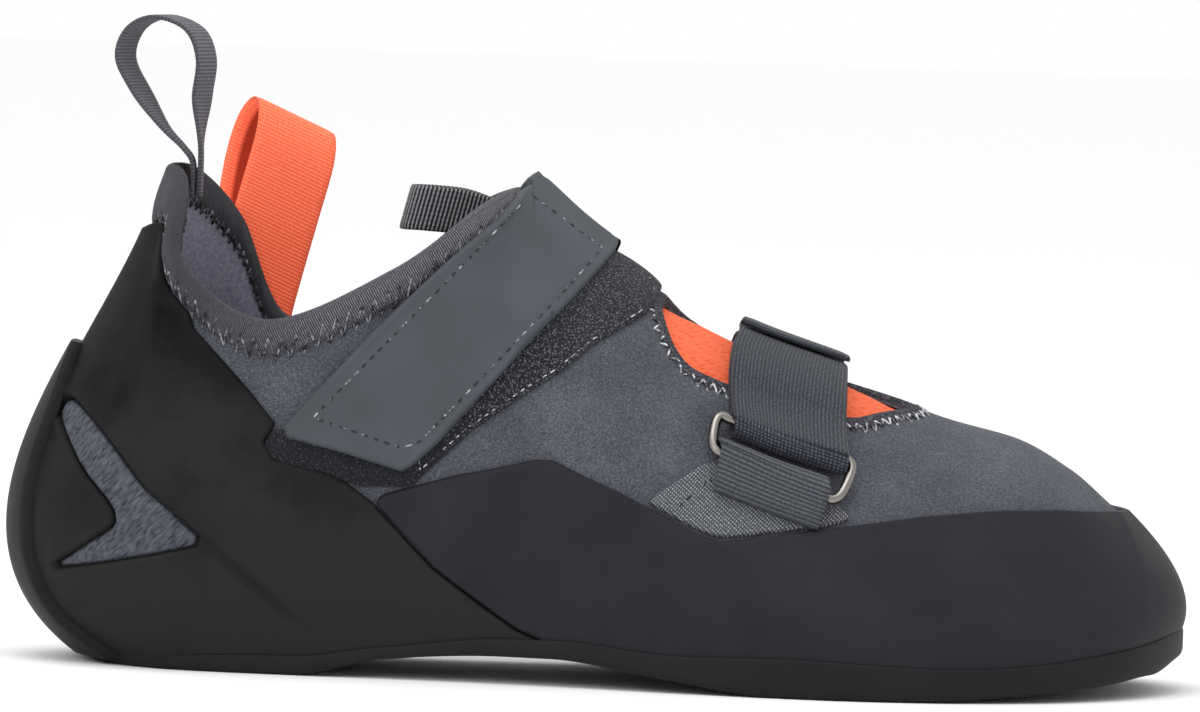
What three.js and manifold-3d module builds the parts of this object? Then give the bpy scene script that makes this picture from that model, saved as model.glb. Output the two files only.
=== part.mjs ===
// Climbing shoe for the right foot, in millimetres with +Z up. The toe points along +X and the
// medial side, with the big toe, lies towards +Y. The origin is the middle of the heel's flat spot.

import * as THREE from "three";
import { mergeVertices } from "three/addons/utils/BufferGeometryUtils.js";
import Module from "manifold-3d";

// Driving sizes of the shoe
const shoe_length = 260.5; // end of the heel to the end of the toe
const heel_to_origin = 48.6; // end of the heel to the middle of its flat spot
const ball_width = 89; // across the last at the ball
const heel_width = 57; // across the last at the heel
const heel_height = 109; // collar at the back of the heel, above the floor
const side_height = 76.5; // lowest point of the collar at the ankle
const instep_height = 106; // front of the collar
const arch_lift = 6; // underside of the arch above the floor
const toe_lift = 9; // underside of the toe end above the floor

// Thicknesses and clearances
const gap = 0.3;
const wall = 2; // microfibre upper
const knit = 0.9; // how far the padded collar stands proud of the upper
const rubber = 1.7; // rand and heel rubber
const sole_thickness = 8.6; // edge of the outsole at the ball
const wrap_thickness = 2; // heel wrap of the outsole
const sole_lip = 0.8; // outsole proud of the rand
const edge_round = 1.3; // outsole edge drawn in at the floor
const heel_round = 4; // and at the back of the heel
const insole_thickness = 3;
const tongue_thickness = 1.6;
const patch_thickness = 0.9;
const strap_thickness = 1.8;
const insert_thickness = 1;
const webbing = 1.1; // forefoot strap and ring anchor
const tape = 1; // pull loops
const collar_band_width = 8;
const ring_wire = 1.9;

// Steps of the meshes
const rows_in_column = 8;
const columns_in_row = 2;

// Layers on the last, as distances from the outside of the upper
const over_upper = gap;
const over_rubber = over_upper + rubber + gap;
const under_strap = knit + 2 * gap;
const under_upper = -wall - gap;
const collar_clearance = 4 * gap; // below the collar band
const insole_clearance = 5 * gap; // inside the upper

// Rows of a table as objects with the named columns
function table(columns, rows) {
  const names = columns.split(" ");
  return rows.map((row) => Object.fromEntries(names.map((name, i) => [name, row[i]])));
}

const xAt = (along) => along * shoe_length - heel_to_origin;
const alongAt = (x) => (x + heel_to_origin) / shoe_length;

// Local width of the last, from the heel width to the ball width
const waist_starts = 0.25;
const ball_starts = 0.64;
function widthAt(along) {
  const f = THREE.MathUtils.smoothstep(along, waist_starts, ball_starts);
  return heel_width + (ball_width - heel_width) * f;
}

// Outsole: height of its underside as a share of the arch or toe lift, and its edge thickness
const sole_rows = table("along arch toe thick", [
  [0.083, 0, 0, 0.35],
  [0.244, 0, 0, 0.5],
  [0.322, 0.73, 0, 0.31],
  [0.42, 1, 0, 0.46],
  [0.46, 1, 0, 0.48],
  [0.55, 0.5, 0, 0.62],
  [0.65, 0, 0, 1],
  [0.76, 0, 0, 0.88],
  [0.86, 0, 0.2, 0.74],
  [0.92, 0, 0.36, 0.8],
  [0.965, 0, 0.63, 0.76],
  [0.99, 0, 1, 0.56],
]);

// Smooth value of a column at a place along the shoe, without overshoot, so flats stay flat
function columnAt(rows, name, along) {
  const last = rows.length - 1;
  const a = Math.min(Math.max(along, rows[0].along), rows[last].along);
  let i = 0;
  while (i < last - 1 && a > rows[i + 1].along) i += 1;
  const secant = (k) =>
    (rows[k + 1][name] - rows[k][name]) / (rows[k + 1].along - rows[k].along);
  const slope = (k) => {
    if (k === 0 || k === last) return 0;
    const before = secant(k - 1);
    const after = secant(k);
    return before * after > 0 ? (2 * before * after) / (before + after) : 0;
  };
  const span = rows[i + 1].along - rows[i].along;
  const f = (a - rows[i].along) / span;
  const g = f * f * (3 - 2 * f);
  const level = rows[i][name] * (1 - g) + rows[i + 1][name] * g;
  const bend = slope(i) * f * (1 - f) * (1 - f) - slope(i + 1) * f * f * (1 - f);
  return level + bend * span;
}
function soleUnderside(x) {
  const along = alongAt(x);
  return arch_lift * columnAt(sole_rows, "arch", along) + toe_lift * columnAt(sole_rows, "toe", along);
}
const soleTop = (x) =>
  soleUnderside(x) + sole_thickness * columnAt(sole_rows, "thick", alongAt(x));

// Lower edge of the last, from the back of the heel to the end of the toe, as shares of the length
// and of the local width, and how each profile swells out of it and reaches in to the top
const last_rows = table("along lateral medial sink swell rise reach drop", [
  [0.079, 0, 0, 0, 0.484, 0.24, 0.03, 0.294],
  [0.094, 0.228, 0.228, 0.5, 0.393, 0.24, 0.04, 0.29],
  [0.148, 0.404, 0.404, 2, 0.202, 0.24, 0.05, 0.24],
  [0.24, 0.474, 0.456, 3, 0.09, 0.22, 0.02, 0.2],
  [0.348, 0.484, 0.395, 3, 0.056, 0.22, 0.03, 0.22],
  [0.44, 0.463, 0.345, 3, 0.05, 0.24, 0.1, 0.2],
  [0.509, 0.465, 0.354, 3, 0.045, 0.28, 0.28, 0],
  [0.57, 0.476, 0.383, 3, 0.045, 0.24, 0.3, 0],
  [0.64, 0.494, 0.433, 3, 0.045, 0.2, 0.3, 0],
  [0.716, 0.506, 0.483, 3, 0.045, 0.16, 0.3, 0],
  [0.801, 0.461, 0.5, 3, 0.045, 0.14, 0.3, 0],
  [0.882, 0.348, 0.472, 3, 0.056, 0.12, 0.26, 0],
  [0.944, 0.146, 0.382, 3, 0.09, 0.1, 0.17, 0],
  [0.973, -0.14, 0.14, 3, 0.148, 0.095, 0.097, 0],
]);
const toe_row = last_rows.length - 1;
const all_rows = 2 * toe_row; // lateral rows from the heel to the toe, then medial rows back

// Top line: the collar's rim on each side, then one ridge over the vamp to the toe
const lateral_rim = table("along across up", [
  [0.127, 0, heel_height],
  [0.137, -0.193, 0.977 * heel_height],
  [0.139, -0.368, 0.826 * heel_height],
  [0.213, -0.5, 1.006 * side_height],
  [0.317, -0.496, 0.835 * instep_height],
  [0.387, -0.35, 0.965 * instep_height],
]);
const medial_rim = table("along across up", [
  [0.387, 0.33, 0.96 * instep_height],
  [0.317, 0.47, 0.811 * instep_height],
  [0.229, 0.474, 0.98 * side_height],
  [0.185, 0.368, 0.89 * heel_height],
  [0.148, 0.21, 0.986 * heel_height],
]);
const ridge = table("along across up", [
  [0.417, 0.029, 1],
  [0.509, 0.037, 0.844],
  [0.601, 0.045, 0.716],
  [0.697, 0.056, 0.633],
  [0.782, 0.079, 0.557],
  [0.851, 0.101, 0.512],
  [0.893, 0.118, 0.456],
  [0.912, 0.129, 0.42],
]);
ridge.forEach((row) => (row.up *= instep_height));
const apex_row = lateral_rim.length; // where the rim ends and the ridge starts
const rim = [...lateral_rim, ridge[0], ...medial_rim];

// Smooth value at place s, counted in rows, through numbers fetched one by one
function through(fetch, s) {
  const i = Math.floor(s);
  const f = s - i;
  const [a, b, c, d] = [fetch(i - 1), fetch(i), fetch(i + 1), fetch(i + 2)];
  return b + 0.5 * f * (c - a + f * (2 * a - 5 * b + 4 * c - d + f * (3 * (b - c) + d - a)));
}
const wrapped = (k, n) => ((k % n) + n) % n;
const pointOf = (row) => [xAt(row.along), row.across * widthAt(row.along), row.up];

function lastColumn(name, s) {
  return through((k) => {
    const n = wrapped(k, all_rows);
    return last_rows[Math.min(n, all_rows - n)][name];
  }, s);
}
// Plan position of the lower edge at place s, one of its two coordinates
function lowerEdge(axis, s) {
  return through((k) => {
    const n = wrapped(k, all_rows);
    const row = last_rows[Math.min(n, all_rows - n)];
    if (axis === 0) return xAt(row.along);
    return (n <= toe_row ? -row.lateral : row.medial) * widthAt(row.along);
  }, s);
}
function topLine(s) {
  const n = wrapped(s, all_rows);
  const folded = Math.min(n, all_rows - n);
  if (folded >= apex_row) {
    const last = ridge.length - 1;
    return [0, 1, 2].map((axis) =>
      through((k) => {
        if (k < 0) return 2 * pointOf(ridge[0])[axis] - pointOf(ridge[1])[axis];
        return pointOf(ridge[k > last ? 2 * last - k : k])[axis];
      }, folded - apex_row),
    );
  }
  const onRim = n < apex_row ? n : n - all_rows;
  return [0, 1, 2].map((axis) => through((k) => pointOf(rim[wrapped(k, rim.length)])[axis], onRim));
}

// Under the corner where the collar meets the ridge, the upper is pulled smooth
const nudge = 0.01;
const corner_ease = 0.8; // rows on each side of the corner
const corner_fade = 5; // power of t with which the corner comes back at the top line
function easedTop(s) {
  const corner = Math.abs(s - apex_row) < corner_ease ? apex_row : all_rows - apex_row;
  const share = (s - corner) / (2 * corner_ease) + 0.5;
  const at = (place) => new THREE.Vector3(...topLine(place));
  if (share <= 0 || share >= 1) return at(s);
  const third = (place) => {
    const run = at(place + nudge).sub(at(place - nudge));
    return run.multiplyScalar(corner_ease / (3 * nudge));
  };
  const start = corner - corner_ease;
  const end = corner + corner_ease;
  const [from, to] = [at(start).add(third(start)), at(end).sub(third(end))];
  return new THREE.CubicBezierCurve3(at(start), from, to, at(end)).getPoint(share);
}

// Outside of the upper: t runs from 0 at the lower edge to 1 at the top line
const ridge_tip = toe_row + 0.4; // past this the ridge keeps its slope to the toe
function column(s) {
  const edge = [lowerEdge(0, s), lowerEdge(1, s)];
  const along = lowerEdge(0, s + nudge) - lowerEdge(0, s - nudge);
  const across = lowerEdge(1, s + nudge) - lowerEdge(1, s - nudge);
  const out = new THREE.Vector2(across, -along).normalize();
  const top = easedTop(s);
  const corner = new THREE.Vector3(...topLine(s)).sub(top);
  const bottom = new THREE.Vector3(...edge, soleTop(edge[0]) - lastColumn("sink", s));
  const swell = lastColumn("swell", s) * ball_width;
  const reach = lastColumn("reach", s) * ball_width;
  const n = wrapped(s, all_rows);
  const onRidge = Math.min(Math.max(n, all_rows - n), all_rows - apex_row - nudge);
  const before = topLine(Math.max(onRidge - nudge, ridge_tip));
  const after = topLine(Math.max(onRidge + nudge, ridge_tip + 2 * nudge));
  const run = Math.max(Math.abs(after[0] - before[0]), nudge * nudge);
  const fall = Math.min(n, all_rows - n) > apex_row ? Math.abs(after[2] - before[2]) / run : 0;
  const drop = lastColumn("drop", s) * heel_height + reach * Math.max(out.x, 0) * fall;
  const low = bottom.clone();
  low.add(new THREE.Vector3(out.x * swell, out.y * swell, lastColumn("rise", s) * heel_height));
  const high = top.clone().add(new THREE.Vector3(out.x * reach, out.y * reach, -drop));
  const curve = new THREE.CubicBezierCurve3(bottom, low, high, top);
  return (t) => curve.getPoint(t).addScaledVector(corner, Math.max(t, 0) ** corner_fade);
}
const columns = new Map();
function surface(s, t) {
  const key = wrapped(s, all_rows).toFixed(6);
  if (!columns.has(key)) columns.set(key, column(Number(key)));
  return columns.get(key)(t);
}
const ridge_edge = 0.985; // where the normal of the ridge is taken, on both sides of it
function normalAt(s, t) {
  const step = 0.004;
  const along = surface(s + step, t).sub(surface(s - step, t));
  const up = surface(s, t + step).sub(surface(s, t - step));
  return along.cross(up).normalize();
}
// Point at a distance from the outside of the upper
function onLast(s, t, distance) {
  const n = wrapped(s, all_rows);
  const folded = Math.min(n, all_rows - n);
  const point = surface(s, t);
  let normal = normalAt(s, Math.min(t, ridge_edge));
  if (t > ridge_edge && folded >= apex_row) {
    normal = normalAt(folded, ridge_edge).add(normalAt(all_rows - folded, ridge_edge)).normalize();
  }
  return point.addScaledVector(normal, distance);
}
// The same over the ridge: w runs from -1 at the lateral edge to 0 on the ridge to 1 medially
const overFoot = (s, w, distance) => onLast(w < 0 ? s : all_rows - s, 1 - Math.abs(w), distance);

// Solids
const wasm = await Module();
wasm.setup();

function solid(geometry) {
  const bare = new THREE.BufferGeometry();
  const source = geometry.index ? geometry.toNonIndexed() : geometry;
  bare.setAttribute("position", source.getAttribute("position"));
  const merged = mergeVertices(bare, 1e-3);
  const kept = [];
  const index = merged.index.array;
  for (let i = 0; i < index.length; i += 3) {
    const [a, b, c] = [index[i], index[i + 1], index[i + 2]];
    if (a !== b && b !== c && c !== a) kept.push(a, b, c);
  }
  const vertProperties = merged.attributes.position.array;
  const make = (triVerts) => new wasm.Manifold(new wasm.Mesh({ numProp: 3, vertProperties, triVerts }));
  const made = make(new Uint32Array(kept));
  return made.volume() > 0 ? made : make(new Uint32Array(kept.reverse()));
}

class Faces {
  constructor() {
    this.points = [];
  }
  quad(a, b, c, d) {
    [a, b, c, a, c, d].forEach((p) => this.points.push(p.x, p.y, p.z));
  }
  solid() {
    const geometry = new THREE.BufferGeometry();
    geometry.setAttribute("position", new THREE.Float32BufferAttribute(this.points, 3));
    return solid(geometry);
  }
}

// Closed wall all round the last between two distances, open at the collar and underneath
function shell(inner, outer) {
  const count = all_rows * columns_in_row;
  const layer = (distance) =>
    Array.from({ length: count + 1 }, (_, i) =>
      Array.from({ length: rows_in_column + 1 }, (_, j) =>
        onLast((i % count) / columns_in_row, j / rows_in_column, distance),
      ),
    );
  const inside = layer(inner);
  const outside = layer(outer);
  const faces = new Faces();
  for (let i = 0; i < count; i += 1) {
    for (let j = 0; j < rows_in_column; j += 1) {
      faces.quad(outside[i][j], outside[i + 1][j], outside[i + 1][j + 1], outside[i][j + 1]);
      faces.quad(inside[i][j], inside[i][j + 1], inside[i + 1][j + 1], inside[i + 1][j]);
    }
    faces.quad(inside[i][0], inside[i + 1][0], outside[i + 1][0], outside[i][0]);
    const middle = (i + 0.5) / columns_in_row;
    if (Math.min(middle, all_rows - middle) < apex_row) {
      const top = rows_in_column;
      faces.quad(outside[i][top], outside[i + 1][top], inside[i + 1][top], inside[i][top]);
    }
  }
  return faces.solid();
}

// Closed block over a grid of points, with straight walls between its layers
function block(ni, nj, at, layers = 2) {
  const grid = Array.from({ length: layers }, (_, k) =>
    Array.from({ length: ni + 1 }, (_, i) =>
      Array.from({ length: nj + 1 }, (_, j) => at(i / ni, j / nj, k)),
    ),
  );
  const faces = new Faces();
  const lowest = grid[0];
  const highest = grid[layers - 1];
  for (let i = 0; i < ni; i += 1) {
    for (let j = 0; j < nj; j += 1) {
      faces.quad(highest[i][j], highest[i + 1][j], highest[i + 1][j + 1], highest[i][j + 1]);
      faces.quad(lowest[i][j], lowest[i][j + 1], lowest[i + 1][j + 1], lowest[i + 1][j]);
    }
  }
  for (let k = 0; k < layers - 1; k += 1) {
    const [a, b] = [grid[k], grid[k + 1]];
    for (let i = 0; i < ni; i += 1) {
      faces.quad(a[i][0], a[i + 1][0], b[i + 1][0], b[i][0]);
      faces.quad(a[i][nj], b[i][nj], b[i + 1][nj], a[i + 1][nj]);
    }
    for (let j = 0; j < nj; j += 1) {
      faces.quad(a[0][j], b[0][j], b[0][j + 1], a[0][j + 1]);
      faces.quad(a[ni][j], a[ni][j + 1], b[ni][j + 1], b[ni][j]);
    }
  }
  return faces.solid();
}

// Prism of a side outline, in mm along X and Z, between two places across the shoe
const beyond = 1.2 * shoe_length; // past every face of the shoe
function sideCut(points, from = -beyond, to = beyond) {
  const shape = new THREE.Shape(points.map(([x, z]) => new THREE.Vector2(x, z)));
  const prism = new THREE.ExtrudeGeometry(shape, { depth: to - from, bevelEnabled: false });
  prism.rotateX(Math.PI / 2).translate(0, to, 0);
  return solid(prism);
}
// Prism of a plan outline, in mm along X and Y, upwards from a height
function planCut(points, from) {
  const shape = new THREE.Shape(points.map(([x, y]) => new THREE.Vector2(x, y)));
  const prism = new THREE.ExtrudeGeometry(shape, { depth: beyond, bevelEnabled: false });
  return solid(prism.translate(0, 0, from));
}
const smoothOutline = (points, count) =>
  new THREE.SplineCurve([...points, points[0]].map(([x, y]) => new THREE.Vector2(x, y)))
    .getPoints(count)
    .slice(0, -1)
    .map((p) => [p.x, p.y]);

// Side outlines are rows of a share of the length and a share of a named height
const outline = (rows, height) => rows.map(([along, up]) => [xAt(along), up * height]);
const moved = (points, dx, dz) => points.map(([x, z]) => [x + dx, z + dz]);

const material = (color, roughness, metalness = 0) =>
  new THREE.MeshStandardMaterial({ color, roughness, metalness });
const shoe = new THREE.Group();
const tolerance = 0.035; // flat spots of the meshes join within this
function add(name, made, look) {
  const { numProp, vertProperties, triVerts } = made.simplify(tolerance).getMesh();
  const positions = new THREE.InterleavedBuffer(vertProperties, numProp);
  const geometry = new THREE.BufferGeometry();
  geometry.setAttribute("position", new THREE.InterleavedBufferAttribute(positions, 3, 0));
  geometry.setIndex(new THREE.BufferAttribute(triVerts, 1));
  const mesh = new THREE.Mesh(geometry.toNonIndexed(), look);
  mesh.geometry.computeVertexNormals();
  mesh.name = name;
  shoe.add(mesh);
}

// Everything on the last stands just above the outsole's top
const sole_steps = 60;
function aboveSole(clearance) {
  const edge = Array.from({ length: sole_steps + 1 }, (_, i) => {
    const x = xAt(i / sole_steps);
    return [x, soleTop(x) + clearance];
  });
  const ends = [edge[0][0] - beyond, edge[sole_steps][0] + beyond];
  return sideCut([
    [ends[0], edge[0][1]],
    ...edge,
    [ends[1], edge[sole_steps][1]],
    [ends[1], beyond],
    [ends[0], beyond],
  ]);
}
const above_sole = aboveSole(gap);

// Outsole: a plate with a rounded edge, joined to the wrap that climbs the back of the heel
// Share of a column, from the lower edge, at which it leaves the outsole's top
function soleCut(s) {
  let low = 0;
  let high = 0.4;
  for (let i = 0; i < 18; i += 1) {
    const t = (low + high) / 2;
    const p = surface(s, t);
    if (p.z < soleTop(p.x)) low = t;
    else high = t;
  }
  return low;
}
function plate(distanceAt, heightAt, ni, nj, layers) {
  const edgeAt = (s, k) => onLast(s, soleCut(s), distanceAt(s, k));
  return block(
    ni,
    nj,
    (u, v, k) => {
      const s = u * toe_row;
      const point = edgeAt(s, k).lerp(edgeAt(all_rows - s, k), v);
      point.z = heightAt(point.x, k);
      return point;
    },
    layers,
  );
}
const sole_edge = over_upper + rubber + sole_lip;
// How much the edge at place s belongs to the back of the heel
function heelShare(s) {
  const n = wrapped(s, all_rows);
  return Math.max(0, 1 - Math.min(n, all_rows - n) / 2) ** 2;
}
const sole_levels = [0, 0.3, 1]; // underside, top of the rounded edge, top
const soleEdgeAt = (s, k) => {
  const full = sole_edge + (over_rubber + wrap_thickness - sole_edge) * heelShare(s);
  return k === 0 ? full - edge_round - heel_round * heelShare(s) : full;
};
const soleLevelAt = (x, k) =>
  THREE.MathUtils.lerp(soleUnderside(x), soleTop(x), sole_levels[k]);
const sole_plate = plate(soleEdgeAt, soleLevelAt, 4 * toe_row, 1, 3);
// The wrap's half-width in rows of the last, at even steps from the floor to its rounded top
const wrap_halves = [1.4, 0.85, 0.68, 0.62, 0.58, 0.52, 0.28];
const wrap_top = 0.625; // share of the last's column at the heel
const wrap_bottom = 1; // height of the wrap's lower edge, inside the plate
const heel_wrap = block(8, 10, (u, v, k) => {
  const last = wrap_halves.length - 1;
  const half = through((i) => wrap_halves[THREE.MathUtils.clamp(i, 0, last)], v * last);
  const s = wrapped((2 * u - 1) * half, all_rows);
  return onLast(s, v * wrap_top, over_rubber + k * wrap_thickness);
}).trimByPlane([0, 0, 1], wrap_bottom);
const outsole = sole_plate.add(heel_wrap);
add("outsole", outsole, material(0x2d2e2b, 0.8));

// Collar band: padded knit along the rim, on the last's own surface
function bandStart(s, width) {
  const steps = 24;
  let left = width;
  let t = 1;
  while (left > 0 && t > 1 / steps) {
    left -= surface(s, t).distanceTo(surface(s, t - 1 / steps));
    t -= 1 / steps;
  }
  return t - left / Math.max(surface(s, t + 1 / steps).distanceTo(surface(s, t)) * steps, 1);
}
function collarBlock(width, ends, past, inner, outer) {
  const across = 3;
  const half = apex_row * columns_in_row * 2;
  const places = Array.from({ length: 2 * half + 1 }, (_, i) => (i / half - 1) * apex_row);
  if (ends > 0) {
    places.unshift(-apex_row - ends);
    places.push(apex_row + ends);
  } else {
    places[0] -= ends;
    places[2 * half] += ends;
  }
  return block(places.length - 1, across, (u, v, k) => {
    const s = places[Math.round(u * (places.length - 1))];
    const start = bandStart(s, width);
    return onLast(s, start + (1 + past - start) * v, k ? outer : inner);
  });
}
// Rooms cut out of the pieces round it reach this far past its ends, in rows, and past its rim
const band_end = 0.14;
const band_rim = 0.05;
const room_width = collar_band_width + collar_clearance;
const collar_band = collarBlock(collar_band_width, -0.04, 0, -wall, knit);
const collar_room = collarBlock(room_width, band_end, band_rim, under_upper, over_rubber);
const above_heel = collarBlock(room_width, 0, band_rim, under_upper, 2 * over_rubber);
add("collar_band", collar_band, material(0x47474d, 0.95));

// Upper: the hollow wall with its throat cut open from above
const throat_steps = 26;
const throat = smoothOutline(
  [
    [0.546, -0.03],
    [0.552, -0.14],
    [0.566, -0.195],
    [0.59, -0.2],
    [0.65, -0.192],
    [0.7, -0.168],
    [0.727, -0.1],
    [0.75, -0.01],
    [0.752, 0.05],
    [0.735, 0.1],
    [0.69, 0.13],
    [0.62, 0.13],
    [0.565, 0.105],
  ].map(([along, across]) => [xAt(along), across * ball_width]),
  throat_steps,
);
// Thin chips that a cut leaves at the collar's front corner are no part of the piece
const largest = (made) => made.decompose().reduce((a, b) => (b.volume() > a.volume() ? b : a));
const skin = largest(shell(-wall, 0).intersect(above_sole).subtract(collar_room));
const throat_floor = 0.3 * instep_height; // the cut goes down to here
const upper = skin.subtract(planCut(throat, throat_floor));
add("upper", upper, material(0x585a62, 0.85));

// Tongue: orange mesh under the throat, from the front of the collar to past the opening
const tongue_plan = [
  [0.43, -0.1],
  [0.46, -0.25],
  [0.56, -0.33],
  [0.66, -0.31],
  [0.74, -0.22],
  [0.78, 0.04],
  [0.74, 0.3],
  [0.66, 0.37],
  [0.56, 0.38],
  [0.46, 0.3],
  [0.43, 0.14],
].map(([along, across]) => [xAt(along), across * ball_width]);
const tongue = shell(under_upper - tongue_thickness, under_upper).intersect(
  planCut(tongue_plan, throat_floor),
);
add("tongue", tongue, material(0xfd6a42, 0.8));

// Insole: board and sock lining that lie on the outsole, inside the upper
const insole_edge = under_upper - insole_clearance;
const insole = plate(
  () => insole_edge,
  (x, k) => soleTop(x) + gap + k * insole_thickness,
  2 * toe_row,
  2,
  2,
);
add("insole", insole, material(0x3c3d42, 0.9));

// Heel rubber and rand meet along one slanting joint, given from the floor up to the collar
const joint = outline(
  [
    [0.452, -0.1],
    [0.452, 0.092],
    [0.432, 0.111],
    [0.406, 0.151],
    [0.362, 0.224],
    [0.339, 0.278],
    [0.309, 0.352],
  ],
  heel_height,
);
const heel_top_edge = outline(
  [
    [0.286, 0.39],
    [0.267, 0.409],
    [0.226, 0.428],
    [0.217, 0.462],
    [0.226, 0.5],
    [0.202, 0.567],
    [0.155, 0.682],
    [0.148, 0.74],
    [0.148, 1.2],
    [-0.2, 1.2],
    [-0.2, -0.1],
  ],
  heel_height,
);
// Arrow-shaped window on each side of the heel
const arrow = outline(
  [
    [0.045, 0.499],
    [0.054, 0.527],
    [0.066, 0.512],
    [0.091, 0.449],
    [0.12, 0.362],
    [0.139, 0.328],
    [0.172, 0.258],
    [0.129, 0.232],
    [0.078, 0.207],
    [0.043, 0.192],
    [0.071, 0.244],
    [0.097, 0.287],
    [0.093, 0.324],
    [0.067, 0.39],
    [0.049, 0.467],
  ],
  heel_height,
);
// Outline drawn in by a distance, corner by corner; its points run clockwise seen from the side
function drawnIn(points, distance) {
  const sharpest = 2.5; // most that a sharp corner moves, in distances
  return points.map(([x, z], i) => {
    const before = points[(i + points.length - 1) % points.length];
    const after = points[(i + 1) % points.length];
    const a = new THREE.Vector2(x - before[0], z - before[1]).normalize();
    const b = new THREE.Vector2(after[0] - x, after[1] - z).normalize();
    const inwards = new THREE.Vector2(a.y + b.y, -a.x - b.x).normalize();
    const reach = distance / Math.max(inwards.x * a.y - inwards.y * a.x, 1 / sharpest);
    return [x + inwards.x * reach, z + inwards.y * reach];
  });
}
const rubber_layer = shell(over_upper, over_upper + rubber).intersect(above_sole);
const heel_rubber = rubber_layer
  .intersect(sideCut([...joint, ...heel_top_edge]))
  .subtract(above_heel)
  .subtract(collar_room)
  .subtract(sideCut(arrow));
add("heel_rubber", largest(heel_rubber), material(0x2d2e2b, 0.75));

const rand_top_edge = outline(
  [
    [0.316, 0.368],
    [0.329, 0.378],
    [0.38, 0.414],
    [0.401, 0.424],
    [0.442, 0.448],
    [0.457, 0.449],
    [0.479, 0.425],
    [0.51, 0.393],
    [0.542, 0.357],
    [0.576, 0.316],
    [0.597, 0.3],
    [0.633, 0.311],
    [0.708, 0.337],
    [0.762, 0.354],
    [0.831, 0.367],
    [0.88, 0.374],
    [0.943, 0.385],
    [1.1, 0.4],
    [1.1, -0.1],
  ],
  heel_height,
);
const joint_gap = 1.6 * gap; // along the shoe, as the joint slants
const rand = rubber_layer.intersect(sideCut([...moved(joint, joint_gap, 0), ...rand_top_edge]));
add("rand", largest(rand), material(0x2d2c31, 0.7));

// Inserts: grained grey synthetic that fills each window a little below the rubber
const insert_layer = shell(over_upper, over_upper + insert_thickness);
const insert_side = [
  ["lateral", -beyond, 0],
  ["medial", 0, beyond],
];
const window_gap = 1.4 * gap;
insert_side.forEach(([side, from, to]) => {
  const made = insert_layer.intersect(sideCut(drawnIn(arrow, window_gap), from, to));
  add(`heel_insert_${side}`, largest(made), material(0x4d4e58, 0.6));
});

// Hook-and-loop patch on the lateral instep, half of it under the closure strap
const loop_patch_edge = outline(
  [
    [0.5, 0.9],
    [0.527, 0.885],
    [0.543, 0.8],
    [0.53, 0.754],
    [0.488, 0.694],
    [0.46, 0.636],
    [0.434, 0.594],
    [0.388, 0.511],
    [0.34, 0.41],
    [0.31, 0.44],
    [0.36, 0.6],
    [0.46, 0.85],
  ],
  instep_height,
);
const ridge_side = 0.05 * ball_width; // just past the ridge, towards the medial side
const patch_layer = shell(over_upper, over_upper + patch_thickness);
const loop_patch = patch_layer
  .intersect(sideCut(loop_patch_edge, -beyond, ridge_side))
  .subtract(collar_room);
add("loop_patch", largest(loop_patch), material(0x37383e, 0.95));

// Closure strap over the instep, from its medial seam to its cut end on the lateral side
const strap_lateral = outline(
  [
    [0.47, 1.13],
    [0.53, 0.98],
    [0.508, 0.901],
    [0.445, 0.724],
    [0.405, 0.612],
    [0.362, 0.487],
    [0.341, 0.438],
    [0.332, 0.426],
    [0.281, 0.461],
    [0.24, 0.484],
    [0.234, 0.506],
    [0.247, 0.547],
    [0.307, 0.718],
    [0.431, 1.002],
  ],
  instep_height,
);
const strap_medial = outline(
  [
    [0.47, 1.13],
    [0.53, 0.98],
    [0.508, 0.901],
    [0.49, 0.75],
    [0.47, 0.6],
    [0.37, 0.57],
    [0.385, 0.75],
    [0.431, 1.002],
  ],
  instep_height,
);
const strap_cut = sideCut(strap_lateral, -beyond, 0).add(sideCut(strap_medial, 0, beyond));
const over_band = knit + 2.4 * gap;
const band_room = collarBlock(collar_band_width + 3 * gap, band_end, 0.08, under_upper, over_band);
const closure_strap = shell(under_strap, under_strap + strap_thickness)
  .intersect(strap_cut)
  .subtract(band_room);
add("closure_strap", largest(closure_strap), material(0x50545b, 0.6));

// Ribbon of a thickness along a grid of middle points, path along i and width along j
function ribbon(points, thickness) {
  const [ni, nj] = [points.length - 1, points[0].length - 1];
  const clamp = THREE.MathUtils.clamp;
  return block(ni, nj, (u, v, k) => {
    const [i, j] = [Math.round(u * ni), Math.round(v * nj)];
    const along = points[clamp(i + 1, 0, ni)][j].clone().sub(points[clamp(i - 1, 0, ni)][j]);
    const across = points[i][clamp(j + 1, 0, nj)].clone().sub(points[i][clamp(j - 1, 0, nj)]);
    const normal = along.cross(across).normalize();
    return points[i][j].clone().addScaledVector(normal, thickness * (k - 0.5));
  });
}

// Forefoot strap, its ring and the ring's anchor. The ring is a bar of wire bent to a long loop
// that lies on the lateral side; the strap folds round its upper bar and the anchor round the lower.
// Each bar runs from its rear end to its front end, with s and w on the last.
const upper_bar = { s: [apex_row + 1.77, apex_row + 3.02], w: [-0.412, -0.402] };
const lower_bar = { s: [apex_row + 1.66, apex_row + 2.86], w: [-0.5, -0.515] };
const lerp = THREE.MathUtils.lerp;
const barAt = (bar, s) => lerp(...bar.w, (s - bar.s[0]) / (bar.s[1] - bar.s[0]));
const webbing_gap = 2 * gap;
const bar_lift = webbing_gap + webbing + webbing_gap + ring_wire / 2;
const fold_radius = ring_wire / 2 + webbing_gap + webbing / 2;
const first_lift = webbing_gap + webbing / 2;
const second_lift = first_lift + webbing + webbing_gap;
const third_lift = second_lift + webbing + webbing_gap;
const fold_steps = 6;
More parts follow.
